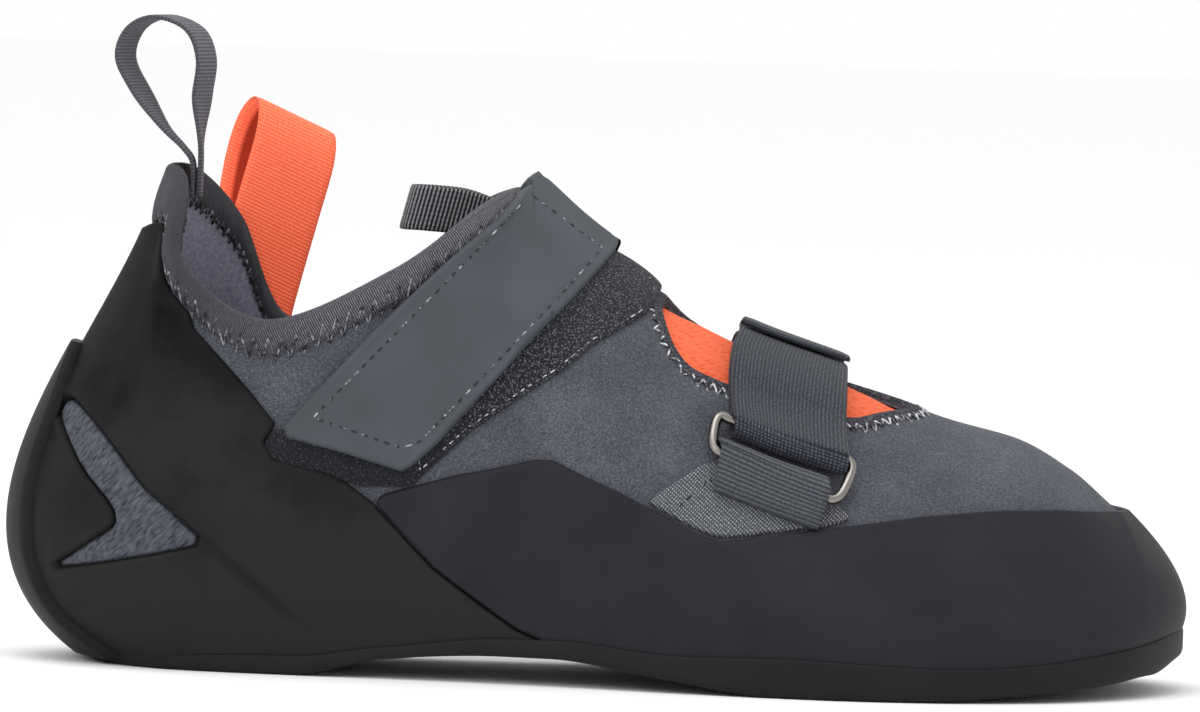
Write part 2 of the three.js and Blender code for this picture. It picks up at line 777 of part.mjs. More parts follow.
// Middle points of webbing that comes in on the upper, folds round a bar and lies back on itself.
// The run gives its places before and after the fold as [w, lift], how many radii the fold
// reaches, and how far in rows it slides along the shoe for each w away from the bar.
function foldedPath(s, bar, run) {
  const w = barAt(bar, s);
  const at = ([place, lift]) => {
    const away = Math.min(Math.abs(place - w), run.slides_until ?? Infinity);
    return overFoot(s + run.slide * away, place, lift);
  };
  const step = 0.01;
  const scale = overFoot(s, w + step, 0).distanceTo(overFoot(s, w - step, 0)) / (2 * step);
  const fold = Array.from({ length: fold_steps + 1 }, (_, i) => {
    const angle = Math.PI * (i / fold_steps - 0.5);
    const reach = run.fold_reach * fold_radius * Math.cos(angle);
    return overFoot(s, w + reach / scale, bar_lift + fold_radius * Math.sin(angle));
  });
  return [...run.before.map(at), ...fold, ...run.after.map(at)];
}
const webbing_columns = 5;
function foldedWebbing(places, bar, runAt) {
  const columnsAcross = Array.from({ length: webbing_columns + 1 }, (_, j) => {
    const f = j / webbing_columns;
    return foldedPath(lerp(...places, f), bar, runAt(f));
  });
  const points = columnsAcross[0].map((_, i) => columnsAcross.map((column) => column[i]));
  return ribbon(points, webbing);
}
const strap_places = [apex_row + 1.9, apex_row + 2.9]; // rear and front edge, in rows
// Its free end is turned back on itself just past the ridge, as a tab to pull
const strap_end = [
  [0.035, second_lift],
  [0.058, (second_lift + third_lift) / 2],
  [0.035, third_lift],
  [0, third_lift],
  [-0.035, third_lift],
];
const forefoot_strap = foldedWebbing(strap_places, upper_bar, (f) => ({
  before: [0.46, 0.36, 0.26, 0.16, 0.06, -0.03, -0.12, -0.21, -0.3].map((w) => [w, first_lift]),
  after: [...[-0.33, -0.24, -0.15, -0.06].map((w) => [w, second_lift]), ...strap_end],
  fold_reach: -1,
  slide: lerp(0.45, 0.25, f),
  slides_until: 0.4,
}));
add("forefoot_strap", forefoot_strap, material(0x3a3d47, 0.6));

const barPoint = (bar, f) => overFoot(lerp(...bar.s, f), lerp(...bar.w, f), bar_lift);
const bar_shares = [0.04, 0.12, 0.31, 0.5, 0.69, 0.88, 0.96];
const corner = 0.22; // share of the ring's end that each rounded corner takes
const ringEnd = (from, to) => [corner, 1 - corner].map((f) => from.clone().lerp(to, f));
const ring_path = new THREE.CatmullRomCurve3(
  [
    ...bar_shares.map((f) => barPoint(upper_bar, f)),
    ...ringEnd(barPoint(upper_bar, 1), barPoint(lower_bar, 1)),
    ...bar_shares.map((f) => barPoint(lower_bar, 1 - f)),
    ...ringEnd(barPoint(lower_bar, 0), barPoint(upper_bar, 0)),
  ],
  true,
);
const strap_ring = solid(new THREE.TubeGeometry(ring_path, 44, ring_wire / 2, 6, true));
add("strap_ring", strap_ring, material(0xb0aca6, 0.3, 1));

const anchor_edge = outline(
  [
    [0.534, 0.372],
    [0.545, 0.361],
    [0.577, 0.322],
    [0.597, 0.307],
    [0.633, 0.317],
    [0.7, 0.341],
    [0.705, 0.36],
    [0.65, 0.425],
    [0.593, 0.468],
  ],
  heel_height,
);
const anchor_places = [apex_row + 1.78, apex_row + 2.68];
const anchor_loop = foldedWebbing(anchor_places, lower_bar, (f) => ({
  before: [[lerp(-0.58, -0.575, f), first_lift]],
  after: [[lerp(-0.58, -0.575, f), second_lift]],
  fold_reach: lerp(1, 1.8, f),
  slide: -2.4,
}));
const anchor_patch = shell(over_upper, over_upper + webbing);
const ring_anchor = anchor_patch.intersect(sideCut(anchor_edge, -beyond, 0)).add(anchor_loop);
add("ring_anchor", largest(ring_anchor), material(0x4a4d54, 0.7));

// Pull loops: tapes that leave the collar, turn over and come back to it
function tapeLoop(path, width, directionAt, steps) {
  const curve = new THREE.CatmullRomCurve3(path);
  const points = Array.from({ length: steps + 1 }, (_, i) => {
    const middle = curve.getPoint(i / steps);
    const across = directionAt(middle, i / steps).multiplyScalar(width / 2);
    return [middle.clone().sub(across), middle.clone(), middle.clone().add(across)];
  });
  return ribbon(points, tape);
}
const turned = (angle) => new THREE.Vector3(Math.sin(angle), Math.cos(angle), 0);

// Heel loop: stands up from inside the back of the collar, turned a little as it rises
const heel_loop_height = 32;
const heel_loop_reach = 18; // widest, seen from the side
const heel_loop_tape = 10;
const heel_loop_turn = 0.38;
const heel_loop_base = [xAt(0.143), heel_height];
const heel_loop_path = [
  [0.04, -0.23],
  [0.04, 0],
  [-0.083, 0.11],
  [-0.33, 0.25],
  [-0.64, 0.5],
  [-0.83, 0.72],
  [-0.71, 0.92],
  [-0.39, 1],
  [0, 0.92],
  [0.155, 0.72],
  [0.12, 0.47],
  [0.12, 0.22],
  [0.13, 0.03],
  [0.13, -0.225],
].map(
  ([across, up]) =>
    new THREE.Vector3(
      heel_loop_base[0] + across * heel_loop_reach,
      0,
      heel_loop_base[1] + up * heel_loop_height,
    ),
);
const heel_pull_loop = tapeLoop(
  heel_loop_path,
  heel_loop_tape,
  (p) => {
    const risen = (p.z - heel_loop_base[1]) / heel_loop_height;
    return turned(heel_loop_turn * THREE.MathUtils.smoothstep(risen, 0.1, 0.5));
  },
  24,
);
add("heel_pull_loop", heel_pull_loop, material(0x77777d, 0.8));

// Side loop: wide tape sewn outside the medial collar, leaning back, folded over at its top
const side_loop_row = all_rows - 2.35;
const side_loop_seat = 0.86; // share of the column at which it leaves the collar
const side_loop_tape = 19;
const side_loop_height = 42;
const side_loop_depth = 9.5;
const side_loop_up = new THREE.Vector3(0.24, 0, 0.97).normalize();
const side_loop_back = new THREE.Vector3(-0.6, 0.8, 0).normalize();
const side_lift = knit + 3 * gap + tape / 2;
const seat = (t, layer) => onLast(side_loop_row, t, side_lift + layer * (tape + gap));
const side_loop_sewn = 0.07;
const side_loop_path = [
  seat(side_loop_seat - side_loop_sewn, 0),
  seat(side_loop_seat, 0),
  ...[
    [0.03, 0.25],
    [0.02, 0.55],
    [0.02, 0.83],
    [0.25, 0.98],
    [0.6, 1],
    [0.92, 0.9],
    [0.98, 0.7],
    [0.75, 0.42],
    [0.4, 0.18],
  ].map(([back, up]) =>
    seat(side_loop_seat, 0)
      .addScaledVector(side_loop_back, back * side_loop_depth)
      .addScaledVector(side_loop_up, up * side_loop_height),
  ),
  seat(side_loop_seat, 1),
  seat(side_loop_seat - side_loop_sewn, 1),
];
const side_loop_flat = new THREE.Vector3(0.9, 0, -0.42).projectOnPlane(
  normalAt(side_loop_row, side_loop_seat),
);
side_loop_flat.normalize();
const side_pull_loop = tapeLoop(side_loop_path, side_loop_tape, () => side_loop_flat.clone(), 22);
add("side_pull_loop", side_pull_loop, material(0xfd6a42, 0.7));

// Tongue loop: ribbed tape from the front of the collar, which lies back over the foot opening
const tongue_loop_tape = 10;
const tongue_loop_lean = new THREE.Vector3(0.24, 0, 0.97).normalize();
const tongue_loop_middle = 0.02; // share of the ball's width
const tongue_loop_rows = table("along across up", [
  [0.4158, 0.012, 0.9155],
  [0.395, 0.03, 0.932],
  [0.372, 0.05, 0.949],
  [0.348, 0.058, 0.954],
  [0.332, 0.04, 0.955],
  [0.3265, 0, 0.955],
]);
const tongueLoopLeg = (side) =>
  tongue_loop_rows.map(({ along, across, up }) => {
    const y = (tongue_loop_middle + side * across) * ball_width;
    return new THREE.Vector3(xAt(along), y, up * instep_height);
  });
const tongue_loop_path = [...tongueLoopLeg(-1), ...tongueLoopLeg(1).slice(0, -1).reverse()];
const tongue_pull_loop = tapeLoop(
  tongue_loop_path,
  tongue_loop_tape,
  () => tongue_loop_lean.clone(),
  20,
);
add("tongue_pull_loop", tongue_pull_loop, material(0x222225, 0.6));

export default shoe;
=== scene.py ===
import math

import bmesh
import bpy
import numpy as np
from mathutils import Matrix, Vector
from mathutils.bvhtree import BVHTree


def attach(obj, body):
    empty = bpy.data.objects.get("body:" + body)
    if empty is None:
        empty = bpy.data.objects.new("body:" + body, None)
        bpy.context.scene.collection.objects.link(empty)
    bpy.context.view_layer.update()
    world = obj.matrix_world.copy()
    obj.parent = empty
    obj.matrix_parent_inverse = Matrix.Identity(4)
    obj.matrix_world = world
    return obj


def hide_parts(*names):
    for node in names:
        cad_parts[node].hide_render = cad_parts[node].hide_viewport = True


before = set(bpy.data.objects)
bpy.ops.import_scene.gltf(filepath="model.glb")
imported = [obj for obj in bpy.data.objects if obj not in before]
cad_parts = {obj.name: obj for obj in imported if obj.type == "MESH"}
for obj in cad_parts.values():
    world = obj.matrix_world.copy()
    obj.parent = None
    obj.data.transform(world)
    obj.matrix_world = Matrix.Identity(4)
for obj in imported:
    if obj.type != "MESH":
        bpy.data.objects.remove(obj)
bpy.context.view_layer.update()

# Upper. Grey microfibre, 2 mm thick, cut flat and pulled over a right foot's last, asymmetric and
# low at the toe, with a cut-out over the instep. Its nap is brushed, so the grey clouds a little.

MM = 0.001  # every size is in mm, and a mesh or a pattern turns it to metres with this
shoe_length = 260.5
heel_to_origin = 48.6  # from the back of the heel to the flat spot under it
ball_width = 89
heel_width = 57
heel_height = 109  # of the collar behind the heel, from the floor
side_height = 76.5  # of the collar at its lowest, under the ankle
instep_height = 106
arch_lift = 6
toe_lift = 9
sole_thickness = 8.6
wall = 2
heel_end, ball_at = 0.25, 0.64


def x_at(along):
    """Lengths along the shoe are shares, from the back of the heel to the toe."""
    return along * shoe_length - heel_to_origin


def along_at(x):
    return (x + heel_to_origin) / shoe_length


def smooth(x, low, high):
    f = np.clip((np.asarray(x, float) - low) / (high - low), 0, 1)
    return f * f * (3 - 2 * f)


def unit(v):
    return v / np.linalg.norm(v, axis=-1, keepdims=True)


def width_at(along):
    return heel_width + (ball_width - heel_width) * smooth(along, heel_end, ball_at)


def table(columns, rows):
    return dict(zip(columns.split(), np.array(rows, float).T))


sole_rows = table(
    "along arch toe thick",
    [
        (0.083, 0, 0, 0.35),
        (0.244, 0, 0, 0.5),
        (0.322, 0.73, 0, 0.31),
        (0.42, 1, 0, 0.46),
        (0.46, 1, 0, 0.48),
        (0.55, 0.5, 0, 0.62),
        (0.65, 0, 0, 1),
        (0.76, 0, 0, 0.88),
        (0.86, 0, 0.2, 0.74),
        (0.92, 0, 0.36, 0.8),
        (0.965, 0, 0.63, 0.76),
        (0.99, 0, 1, 0.56),
    ],
)


def sole_column(name, x):
    """Smooth value of a column without overshoot, so that flats stay flat."""
    at, y = sole_rows["along"], sole_rows[name]
    a = np.clip(along_at(x), at[0], at[-1])
    secant = np.diff(y) / np.diff(at)
    slope = np.zeros(len(at))
    product = secant[:-1] * secant[1:]
    total = secant[:-1] + secant[1:]
    slope[1:-1] = np.where(product > 0, 2 * product / np.where(total == 0, 1, total), 0)
    i = np.searchsorted(at[1:-1], a, side="left")
    span = at[i + 1] - at[i]
    f = (a - at[i]) / span
    g = f * f * (3 - 2 * f)
    bend = slope[i] * f * (1 - f) ** 2 - slope[i + 1] * f * f * (1 - f)
    return y[i] * (1 - g) + y[i + 1] * g + bend * span


def sole_underside(x):
    return arch_lift * sole_column("arch", x) + toe_lift * sole_column("toe", x)


def sole_top(x):
    return sole_underside(x) + sole_thickness * sole_column("thick", x)


# The last. Places on it are s, in rows round the plan from the back of the heel along the lateral
# side to the toe and back medially, and t, from the lower edge to the collar or the ridge.
last_rows = table(
    "along lateral medial sink swell rise reach drop",
    [
        (0.079, 0, 0, 0, 0.484, 0.24, 0.03, 0.294),
        (0.094, 0.228, 0.228, 0.5, 0.393, 0.24, 0.04, 0.29),
        (0.148, 0.404, 0.404, 2, 0.202, 0.24, 0.05, 0.24),
        (0.24, 0.474, 0.456, 3, 0.09, 0.22, 0.02, 0.2),
        (0.348, 0.484, 0.395, 3, 0.056, 0.22, 0.03, 0.22),
        (0.44, 0.463, 0.345, 3, 0.05, 0.24, 0.1, 0.2),
        (0.509, 0.465, 0.354, 3, 0.045, 0.28, 0.28, 0),
        (0.57, 0.476, 0.383, 3, 0.045, 0.24, 0.3, 0),
        (0.64, 0.494, 0.433, 3, 0.045, 0.2, 0.3, 0),
        (0.716, 0.506, 0.483, 3, 0.045, 0.16, 0.3, 0),
        (0.801, 0.461, 0.5, 3, 0.045, 0.14, 0.3, 0),
        (0.882, 0.348, 0.472, 3, 0.056, 0.12, 0.26, 0),
        (0.944, 0.146, 0.382, 3, 0.09, 0.1, 0.17, 0),
        (0.973, -0.14, 0.14, 3, 0.148, 0.095, 0.097, 0),
    ],
)
toe_row = len(last_rows["along"]) - 1
all_rows = 2 * toe_row
# Rim and ridge: share of the length, share of the width there, share of a height, that height
lateral_rim = [
    (0.127, 0, 1, heel_height),
    (0.137, -0.193, 0.977, heel_height),
    (0.139, -0.368, 0.826, heel_height),
    (0.213, -0.5, 1.006, side_height),
    (0.317, -0.496, 0.835, instep_height),
    (0.387, -0.35, 0.965, instep_height),
]
apex = [(0.417, 0.029, 1, instep_height)]
medial_rim = [
    (0.387, 0.33, 0.96, instep_height),
    (0.317, 0.47, 0.811, instep_height),
    (0.229, 0.474, 0.98, side_height),
    (0.185, 0.368, 0.89, heel_height),
    (0.148, 0.21, 0.986, heel_height),
]
ridge = [
    (0.509, 0.037, 0.844, instep_height),
    (0.601, 0.045, 0.716, instep_height),
    (0.697, 0.056, 0.633, instep_height),
    (0.782, 0.079, 0.557, instep_height),
    (0.851, 0.101, 0.512, instep_height),
    (0.893, 0.118, 0.456, instep_height),
    (0.912, 0.129, 0.42, instep_height),
]
apex_row = len(lateral_rim)


def placed(rows):
    along, across, share, height = np.array(rows, float).T
    return np.stack([x_at(along), across * width_at(along), share * height], 1)


rim_points = placed(lateral_rim + apex + medial_rim)
ridge_points = placed(apex + ridge)
# The ridge goes on before its first point and turns back after its last
ridge_run = np.vstack([2 * ridge_points[0] - ridge_points[1], ridge_points, ridge_points[-2]])


def through(fetch, s):
    """Smooth value at place s, counted in rows, through values fetched by number."""
    i = np.floor(s).astype(int)
    f = s - i
    a, b, c, d = (fetch(i + k) for k in (-1, 0, 1, 2))
    if b.ndim > f.ndim:
        f = f[:, None]
    return b + 0.5 * f * (c - a + f * (2 * a - 5 * b + 4 * c - d + f * (3 * (b - c) + d - a)))


def folded(s):
    """Rows from the back of the heel, on either side."""
    n = np.mod(s, all_rows)
    return np.minimum(n, all_rows - n)


def last_column(name, s):
    return through(lambda k: last_rows[name][folded(k)], s)


def edge_point(k):
    row = folded(k)
    along = last_rows["along"][row]
    lateral = np.mod(k, all_rows) <= toe_row
    side = np.where(lateral, -last_rows["lateral"][row], last_rows["medial"][row])
    return np.stack([x_at(along), side * width_at(along)], -1)


def lower_edge(s):
    return through(edge_point, s)


def top_line(s):
    n, fold = np.mod(s, all_rows), folded(s)
    end = len(ridge_run) - 1
    on_ridge = through(lambda k: ridge_run[np.clip(k + 1, 0, end)], np.maximum(fold - apex_row, 0))
    place = np.clip(np.where(n < apex_row, n, n - all_rows), -apex_row, apex_row)
    on_rim = through(lambda k: rim_points[np.mod(k, len(rim_points))], place)
    return np.where((fold >= apex_row)[:, None], on_ridge, on_rim)


NUDGE = 0.01  # step in rows over which a slope is taken
RIDGE_TIP = toe_row + 0.4  # row at which the slope of the ridge's end is read
RIDGE_EDGE = 0.985  # above this t, next to the ridge, normals are taken across both sides
CORNER_EASE = 0.8  # rows on each side of the corner where the collar meets the ridge
CORNER_FADE = 5  # power of t that keeps the easing out of the sides


def eased_top(s):
    """Top line with that corner pulled smooth, as the microfibre takes it a little below."""
    n = np.mod(s, all_rows)
    top = top_line(n)
    for corner in (apex_row, all_rows - apex_row):
        near = np.abs(n - corner) < CORNER_EASE
        f = ((n[near] - corner) / (2 * CORNER_EASE) + 0.5)[:, None]
        ends = np.array([corner - CORNER_EASE, corner + CORNER_EASE])
        a, b = top_line(ends)
        run = (top_line(ends + NUDGE) - top_line(ends - NUDGE)) * CORNER_EASE / (3 * NUDGE)
        from_a, to_b, u = a + run[0], b - run[1], 1 - f
        top[near] = u**3 * a + 3 * u * u * f * from_a + 3 * u * f * f * to_b + f**3 * b
    return top


def last_surface(s, t):
    """Outside of the upper, from the Bezier profile that stands on each place of the lower edge."""
    s = np.asarray(s, float)
    t = np.asarray(t, float)[:, None]
    edge = lower_edge(s)
    run = lower_edge(s + NUDGE) - lower_edge(s - NUDGE)
    out = unit(np.stack([run[:, 1], -run[:, 0]], 1))
    top = eased_top(s)
    corner = top_line(s) - top
    bottom = np.column_stack([edge, sole_top(edge[:, 0]) - last_column("sink", s)])
    swell = last_column("swell", s) * ball_width
    reach = last_column("reach", s) * ball_width
    n = np.mod(s, all_rows)
    on_ridge = np.minimum(np.maximum(n, all_rows - n), all_rows - apex_row - NUDGE)
    before = top_line(np.maximum(on_ridge - NUDGE, RIDGE_TIP))
    after = top_line(np.maximum(on_ridge + NUDGE, RIDGE_TIP + 2 * NUDGE))
    level = np.maximum(np.abs(after[:, 0] - before[:, 0]), NUDGE * NUDGE)
    fall = np.where(folded(s) > apex_row, np.abs(after[:, 2] - before[:, 2]) / level, 0)
    drop = last_column("drop", s) * heel_height + reach * np.maximum(out[:, 0], 0) * fall
    rise = last_column("rise", s) * heel_height
    low = bottom + np.column_stack([out * swell[:, None], rise])
    high = top + np.column_stack([out * reach[:, None], -drop])
    u = 1 - t
    smooth_form = u**3 * bottom + 3 * u * u * t * low + 3 * u * t * t * high + t**3 * top
    return smooth_form + np.maximum(t, 0) ** CORNER_FADE * corner


def last_normal(s, t):
    step = 0.004
    along = last_surface(s + step, t) - last_surface(s - step, t)
    up = last_surface(s, t + step) - last_surface(s, t - step)
    return unit(np.cross(along, up))


def on_last(s, t, distance, parts=False):
    """Points at a distance in mm from the outside of the upper, with their normals if asked."""
    s, t = (a.ravel() for a in np.broadcast_arrays(np.asarray(s, float), np.asarray(t, float)))
    point = last_surface(s, t)
    normal = last_normal(s, np.minimum(t, RIDGE_EDGE))
    over = (t > RIDGE_EDGE) & (folded(s) >= apex_row)
    if over.any():
        fold = folded(s[over])
        edge = np.full(len(fold), RIDGE_EDGE)
        normal[over] = unit(last_normal(fold, edge) + last_normal(all_rows - fold, edge))
    moved = point + normal * np.broadcast_to(distance, s.shape)[:, None]
    return (moved, normal) if parts else moved


def inside(points, polygon):
    """Distance in mm to a closed outline, positive inside it."""
    tiny = 1e-9
    best = np.full(len(points), np.inf)
    odd = np.zeros(len(points), bool)
    for p, q in zip(polygon, np.roll(polygon, -1, 0)):
        along = q - p
        f = np.clip(((points - p) @ along) / max(along @ along, tiny), 0, 1)
        best = np.minimum(best, np.linalg.norm(points - p - f[:, None] * along, axis=1))
        crosses = (p[1] > points[:, 1]) != (q[1] > points[:, 1])
        rise = q[1] - p[1] if q[1] != p[1] else tiny
        odd ^= crosses & (points[:, 0] < p[0] + (points[:, 1] - p[1]) / rise * (q[0] - p[0]))
    return np.where(odd, best, -best)


def crossed(a, b):
    """Each value of a with each value of b, as rows of two."""
    return np.stack(np.meshgrid(a, b, indexing="ij"), -1).reshape(-1, 2)


def grid_faces(rows, columns, closed_rows=False, closed_columns=False):
    """Quads between points that stand in rows and columns."""
    i, j = crossed(
        np.arange(rows if closed_rows else rows - 1),
        np.arange(columns if closed_columns else columns - 1),
    ).T
    k, m = (i + 1) % rows, (j + 1) % columns
    return np.stack([i * columns + j, k * columns + j, k * columns + m, i * columns + m], 1)


class Skin:
    """Triangles over a patch of the last, which can be trimmed along outlines."""

    def __init__(self, rows=(0, all_rows), shares=(0, 1), per_row=20, columns=64):
        s = np.linspace(*rows, int(round((rows[1] - rows[0]) * per_row)) + 1)
        t = np.linspace(*shares, columns + 1)
        self.place = crossed(s, t)
        quads = grid_faces(len(s), len(t))
        self.faces = np.vstack([quads[:, :3], quads[:, [0, 2, 3]]])
        self.fields = {}

    def points(self, distance=0.0):
        return on_last(*self.place.T, distance)

    def cut(self, name, level):
        """New edges along a field's level."""
        tiny = 1e-7
        field = self.fields[name] - level
        field = np.where(np.abs(field) < tiny, tiny, field)
        above = field[self.faces] > 0
        split = above.any(1) & ~above.all(1)
        whole, faces, above = self.faces[~split], self.faces[split], above[split]
        if not len(faces):
            return
        lone = np.where((above.sum(1) == 1)[:, None], above, ~above).argmax(1)
        turn = (lone[:, None] + np.arange(3)) % 3
        a, b, c = np.take_along_axis(faces, turn, 1).T
        pairs = np.sort(np.vstack([np.stack([a, b], 1), np.stack([a, c], 1)]), axis=1)
        unique, index = np.unique(pairs, axis=0, return_inverse=True)
        index = index.ravel() + len(self.place)
        f0, f1 = field[unique[:, 0]], field[unique[:, 1]]
        share = f0 / (f0 - f1)

        def blended(values):
            low, high = values[unique[:, 0]], values[unique[:, 1]]
            f = share if values.ndim == 1 else share[:, None]
            return np.concatenate([values, low + (high - low) * f])

        self.place = blended(self.place)
        self.fields = {key: blended(value) for key, value in self.fields.items()}
        p, q = index[: len(a)], index[len(a) :]
        cut = [np.stack([a, p, q], 1), np.stack([p, b, c], 1), np.stack([p, c, q], 1)]
        self.faces = np.vstack([whole, *cut])

    def trim(self, name, levels=(0,), field=None):
        """Edges along a field's levels; only what lies above the first of them stays."""
        if field is not None:
            self.fields[name] = field
        for level in levels:
            self.cut(name, level)
        middle = self.fields[name][self.faces].mean(1)
        used, index = np.unique(self.faces[middle > levels[0]], return_inverse=True)
        self.faces = index.reshape(-1, 3)
        self.place = self.place[used]
        self.fields = {key: value[used] for key, value in self.fields.items()}


def rounded(inset, radius):
    """Share of the full thickness at an inset from an edge with a quarter-round."""
    f = np.clip(inset / radius, 0, 1)
    return np.sqrt(np.maximum(1 - (1 - f) ** 2, 0))


FAR = 50
throat_floor = 0.3 * instep_height  # nothing lower on the shoe belongs to the throat
edge_roll = 1.2  # radius of the microfibre's cut edge, which leaves 0.1 mm of it upright
edge_upright = 0.1
throat_rows = [
    (0.546, -0.03), (0.552, -0.14), (0.566, -0.195), (0.59, -0.2), (0.65, -0.192),
    (0.7, -0.168), (0.727, -0.1), (0.75, -0.01), (0.752, 0.05), (0.735, 0.1),
    (0.69, 0.13), (0.62, 0.13), (0.565, 0.105),
]


def closed_curve(points, steps):
    """Smooth closed curve through points."""
    points = np.asarray(points, float)
    s = np.arange(len(points) * steps) / steps
    return through(lambda k: points[np.mod(k, len(points))], s)


throat = closed_curve([(x_at(a), c * ball_width) for a, c in throat_rows], 4)


def throat_field(points):
    """Distance outside the throat's cut in plan, and far away low on the shoe."""
    return np.where(points[:, 2] > throat_floor, -inside(points[:, :2], throat), FAR)


# Soft troughs (negative) and ridges in the panels: ends of each along X and Z on the lateral
# side, its depth and its half-width, all in mm; the last is the seam pressed into the heel rubber
folds = table(
    "x0 z0 x1 z1 depth half",
    [
        (66, 50, 92, 74, -0.5, 5),
        (84, 44, 102, 60, 0.35, 5),
        (97, 49, 107, 60, -0.4, 4),
        (138, 45, 152, 54, -0.35, 4),
        (148, 43, 168, 51, 0.3, 6),
        (28, 57, 42, 50, -0.35, 4),
        (4, 66, 26, 60, 0.25, 6),
        (153, 50, 178, 44, -0.25, 5),
        (-5, 29, 18.5, 10, -1.7, 1.0),
    ],
)


def relief(points, rows=folds):
    """Height in mm that the folds add at points on the last."""
    height = np.zeros(len(points))
    at = points[:, [0, 2]]
    for x0, z0, x1, z1, depth, half in zip(*rows.values()):
        a, b = np.array([x0, z0]), np.array([x1, z1])
        f = np.clip(((at - a) @ (b - a)) / ((b - a) @ (b - a)), 0, 1)
        near = np.linalg.norm(at - a - f[:, None] * (b - a), axis=1)
        ends = np.sin(np.pi * np.clip(f, 0.04, 0.96)) ** 0.5
        height += depth * np.exp(-((near / half) ** 2)) * ends
    return height


RIM_STEP = 0.02  # share of a column, just below the rim, over which its length is measured


def rim_length(s):
    """Length in mm of that share of the columns."""
    low, high = (last_surface(s, np.full(len(s), level)) for level in (0.96 - RIM_STEP, 0.96))
    return np.linalg.norm(high - low, axis=1)


def share_below(s, width):
    """Share of a column at a distance in mm below the rim."""
    return 1 - width / (rim_length(s) / RIM_STEP)


def rim_field(skin, width):
    """Distance in mm below a line that runs at a width under the collar's rim."""
    s, t = skin.place.T
    below = (share_below(s, np.broadcast_to(width, s.shape)) - t) * rim_length(s) / RIM_STEP
    return np.where(folded(s) < apex_row, below, FAR)


def worn_edge(skin):
    """Height in mm of the microfibre's face, with its folds and the roll of the throat's edge."""
    roll = (rounded(skin.fields["throat"], edge_roll) - 1) * (wall - edge_upright)
    return roll + relief(skin.points())


def linear(colour):
    """sRGB hex as linear RGBA."""
    parts = [int(colour[i : i + 2], 16) / 255 for i in (1, 3, 5)]
    return [c / 12.92 if c <= 0.04045 else ((c + 0.055) / 1.055) ** 2.4 for c in parts] + [1]


def finish(name, colour, roughness, **settings):
    """New material with its shader's settings, and the function that adds nodes to it."""
    material = bpy.data.materials.new(name)
    material.use_nodes = True
    material.diffuse_color = linear(colour)
    nodes, links = material.node_tree.nodes, material.node_tree.links
    shader = nodes["Principled BSDF"].inputs
    shader["Base Color"].default_value = linear(colour)
    shader["Roughness"].default_value = roughness
    for key, value in settings.items():
        shader[key.replace("_", " ")].default_value = value

    def add(kind, inputs=(), out=0, to="", stops=(), **attributes):
        """Output of a new node, linked to a shader's input if named; stops are (place, hex)."""
        node = nodes.new("ShaderNode" + kind)
        for key, value in attributes.items():
            setattr(node, key, value)
        for key, value in dict(inputs).items():
            if isinstance(value, bpy.types.NodeSocket):
                links.new(value, node.inputs[key])
            else:
                node.inputs[key].default_value = value
        if stops:
            elements = node.color_ramp.elements
            while len(elements) < len(stops):
                elements.new(0.5)
            for element, (place, hue) in zip(elements, stops):
                element.position, element.color = place, linear(hue)
        if to:
            links.new(node.outputs[out], shader[to])
        return node.outputs[out]

    return material, add


def shown(name, data):
    thing = bpy.data.objects.new(name, data)
    bpy.context.scene.collection.objects.link(thing)
    return thing


def make(name, points, faces, material, uv=None, merge=0.004):
    """Mesh object from points in mm, its equal points joined, with UVs in mm if given."""
    mesh = bpy.data.meshes.new(name)
    mesh.from_pydata((np.asarray(points, float) * MM).tolist(), [], [list(face) for face in faces])
    if uv is not None:
        layer = mesh.uv_layers.new(name="weave")
        corner = np.zeros(len(mesh.loops), int)
        mesh.loops.foreach_get("vertex_index", corner)
        layer.data.foreach_set("uv", np.asarray(uv, float)[corner].ravel())
    built = bmesh.new()
    built.from_mesh(mesh)
    if merge:
        bmesh.ops.remove_doubles(built, verts=built.verts, dist=merge * MM)
    bmesh.ops.recalc_face_normals(built, faces=built.faces)
    built.to_mesh(mesh)
    built.free()
    mesh.polygons.foreach_set("use_smooth", [True] * len(mesh.polygons))
    mesh.materials.append(material)
    return shown(name, mesh)


def wear(piece, slot="", *nodes):
    """The piece rides on the shoe and stands for CAD nodes, which it hides; slot is not used."""
    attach(piece, "root")
    if nodes:
        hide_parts(*nodes)
    return piece


# Brushed nap. Its fibres are far too fine to show, so it is drawn as bundles 0.4 mm across, which
# give a soft matt grain, and as faint clouds of 14 mm where a hand brushed it
microfibre, add = finish(
    "microfibre_brushed", "#4B4D55", 0.9,
    Sheen_Weight=0.06, Sheen_Roughness=0.5, Specular_IOR_Level=0.2,
)
place = add("TexCoord", out="Object")
nap = add("TexNoise", {"Vector": place, "Scale": 2.3 / MM, "Detail": 5, "Roughness": 0.75})
cloud = add("TexNoise", {"Vector": place, "Scale": 0.07 / MM, "Detail": 3})
faint = add("Math", {0: cloud, 1: 0.2}, operation="MULTIPLY")
tone = add("Math", {0: nap, 1: faint}, operation="ADD")
greys = (0.46, "#34363D"), (0.6, "#494B53"), (0.76, "#666870")
add("ValToRGB", {"Fac": tone}, to="Base Color", stops=greys)
add("Bump", {"Height": nap, "Strength": 0.45, "Distance": 0.25 * MM}, to="Normal")

upper_rim = 0.6  # mm from the top line down to its raw edge, inside the collar band
skin = Skin()
roll_levels = (0, 0.15, 0.5, edge_roll)
skin.trim("throat", roll_levels, throat_field(skin.points()))
skin.trim("rim", field=rim_field(skin, upper_rim))
upper = make("upper_shell", skin.points(worn_edge(skin)), skin.faces, microfibre)
wear(upper, "microfibre", "upper")

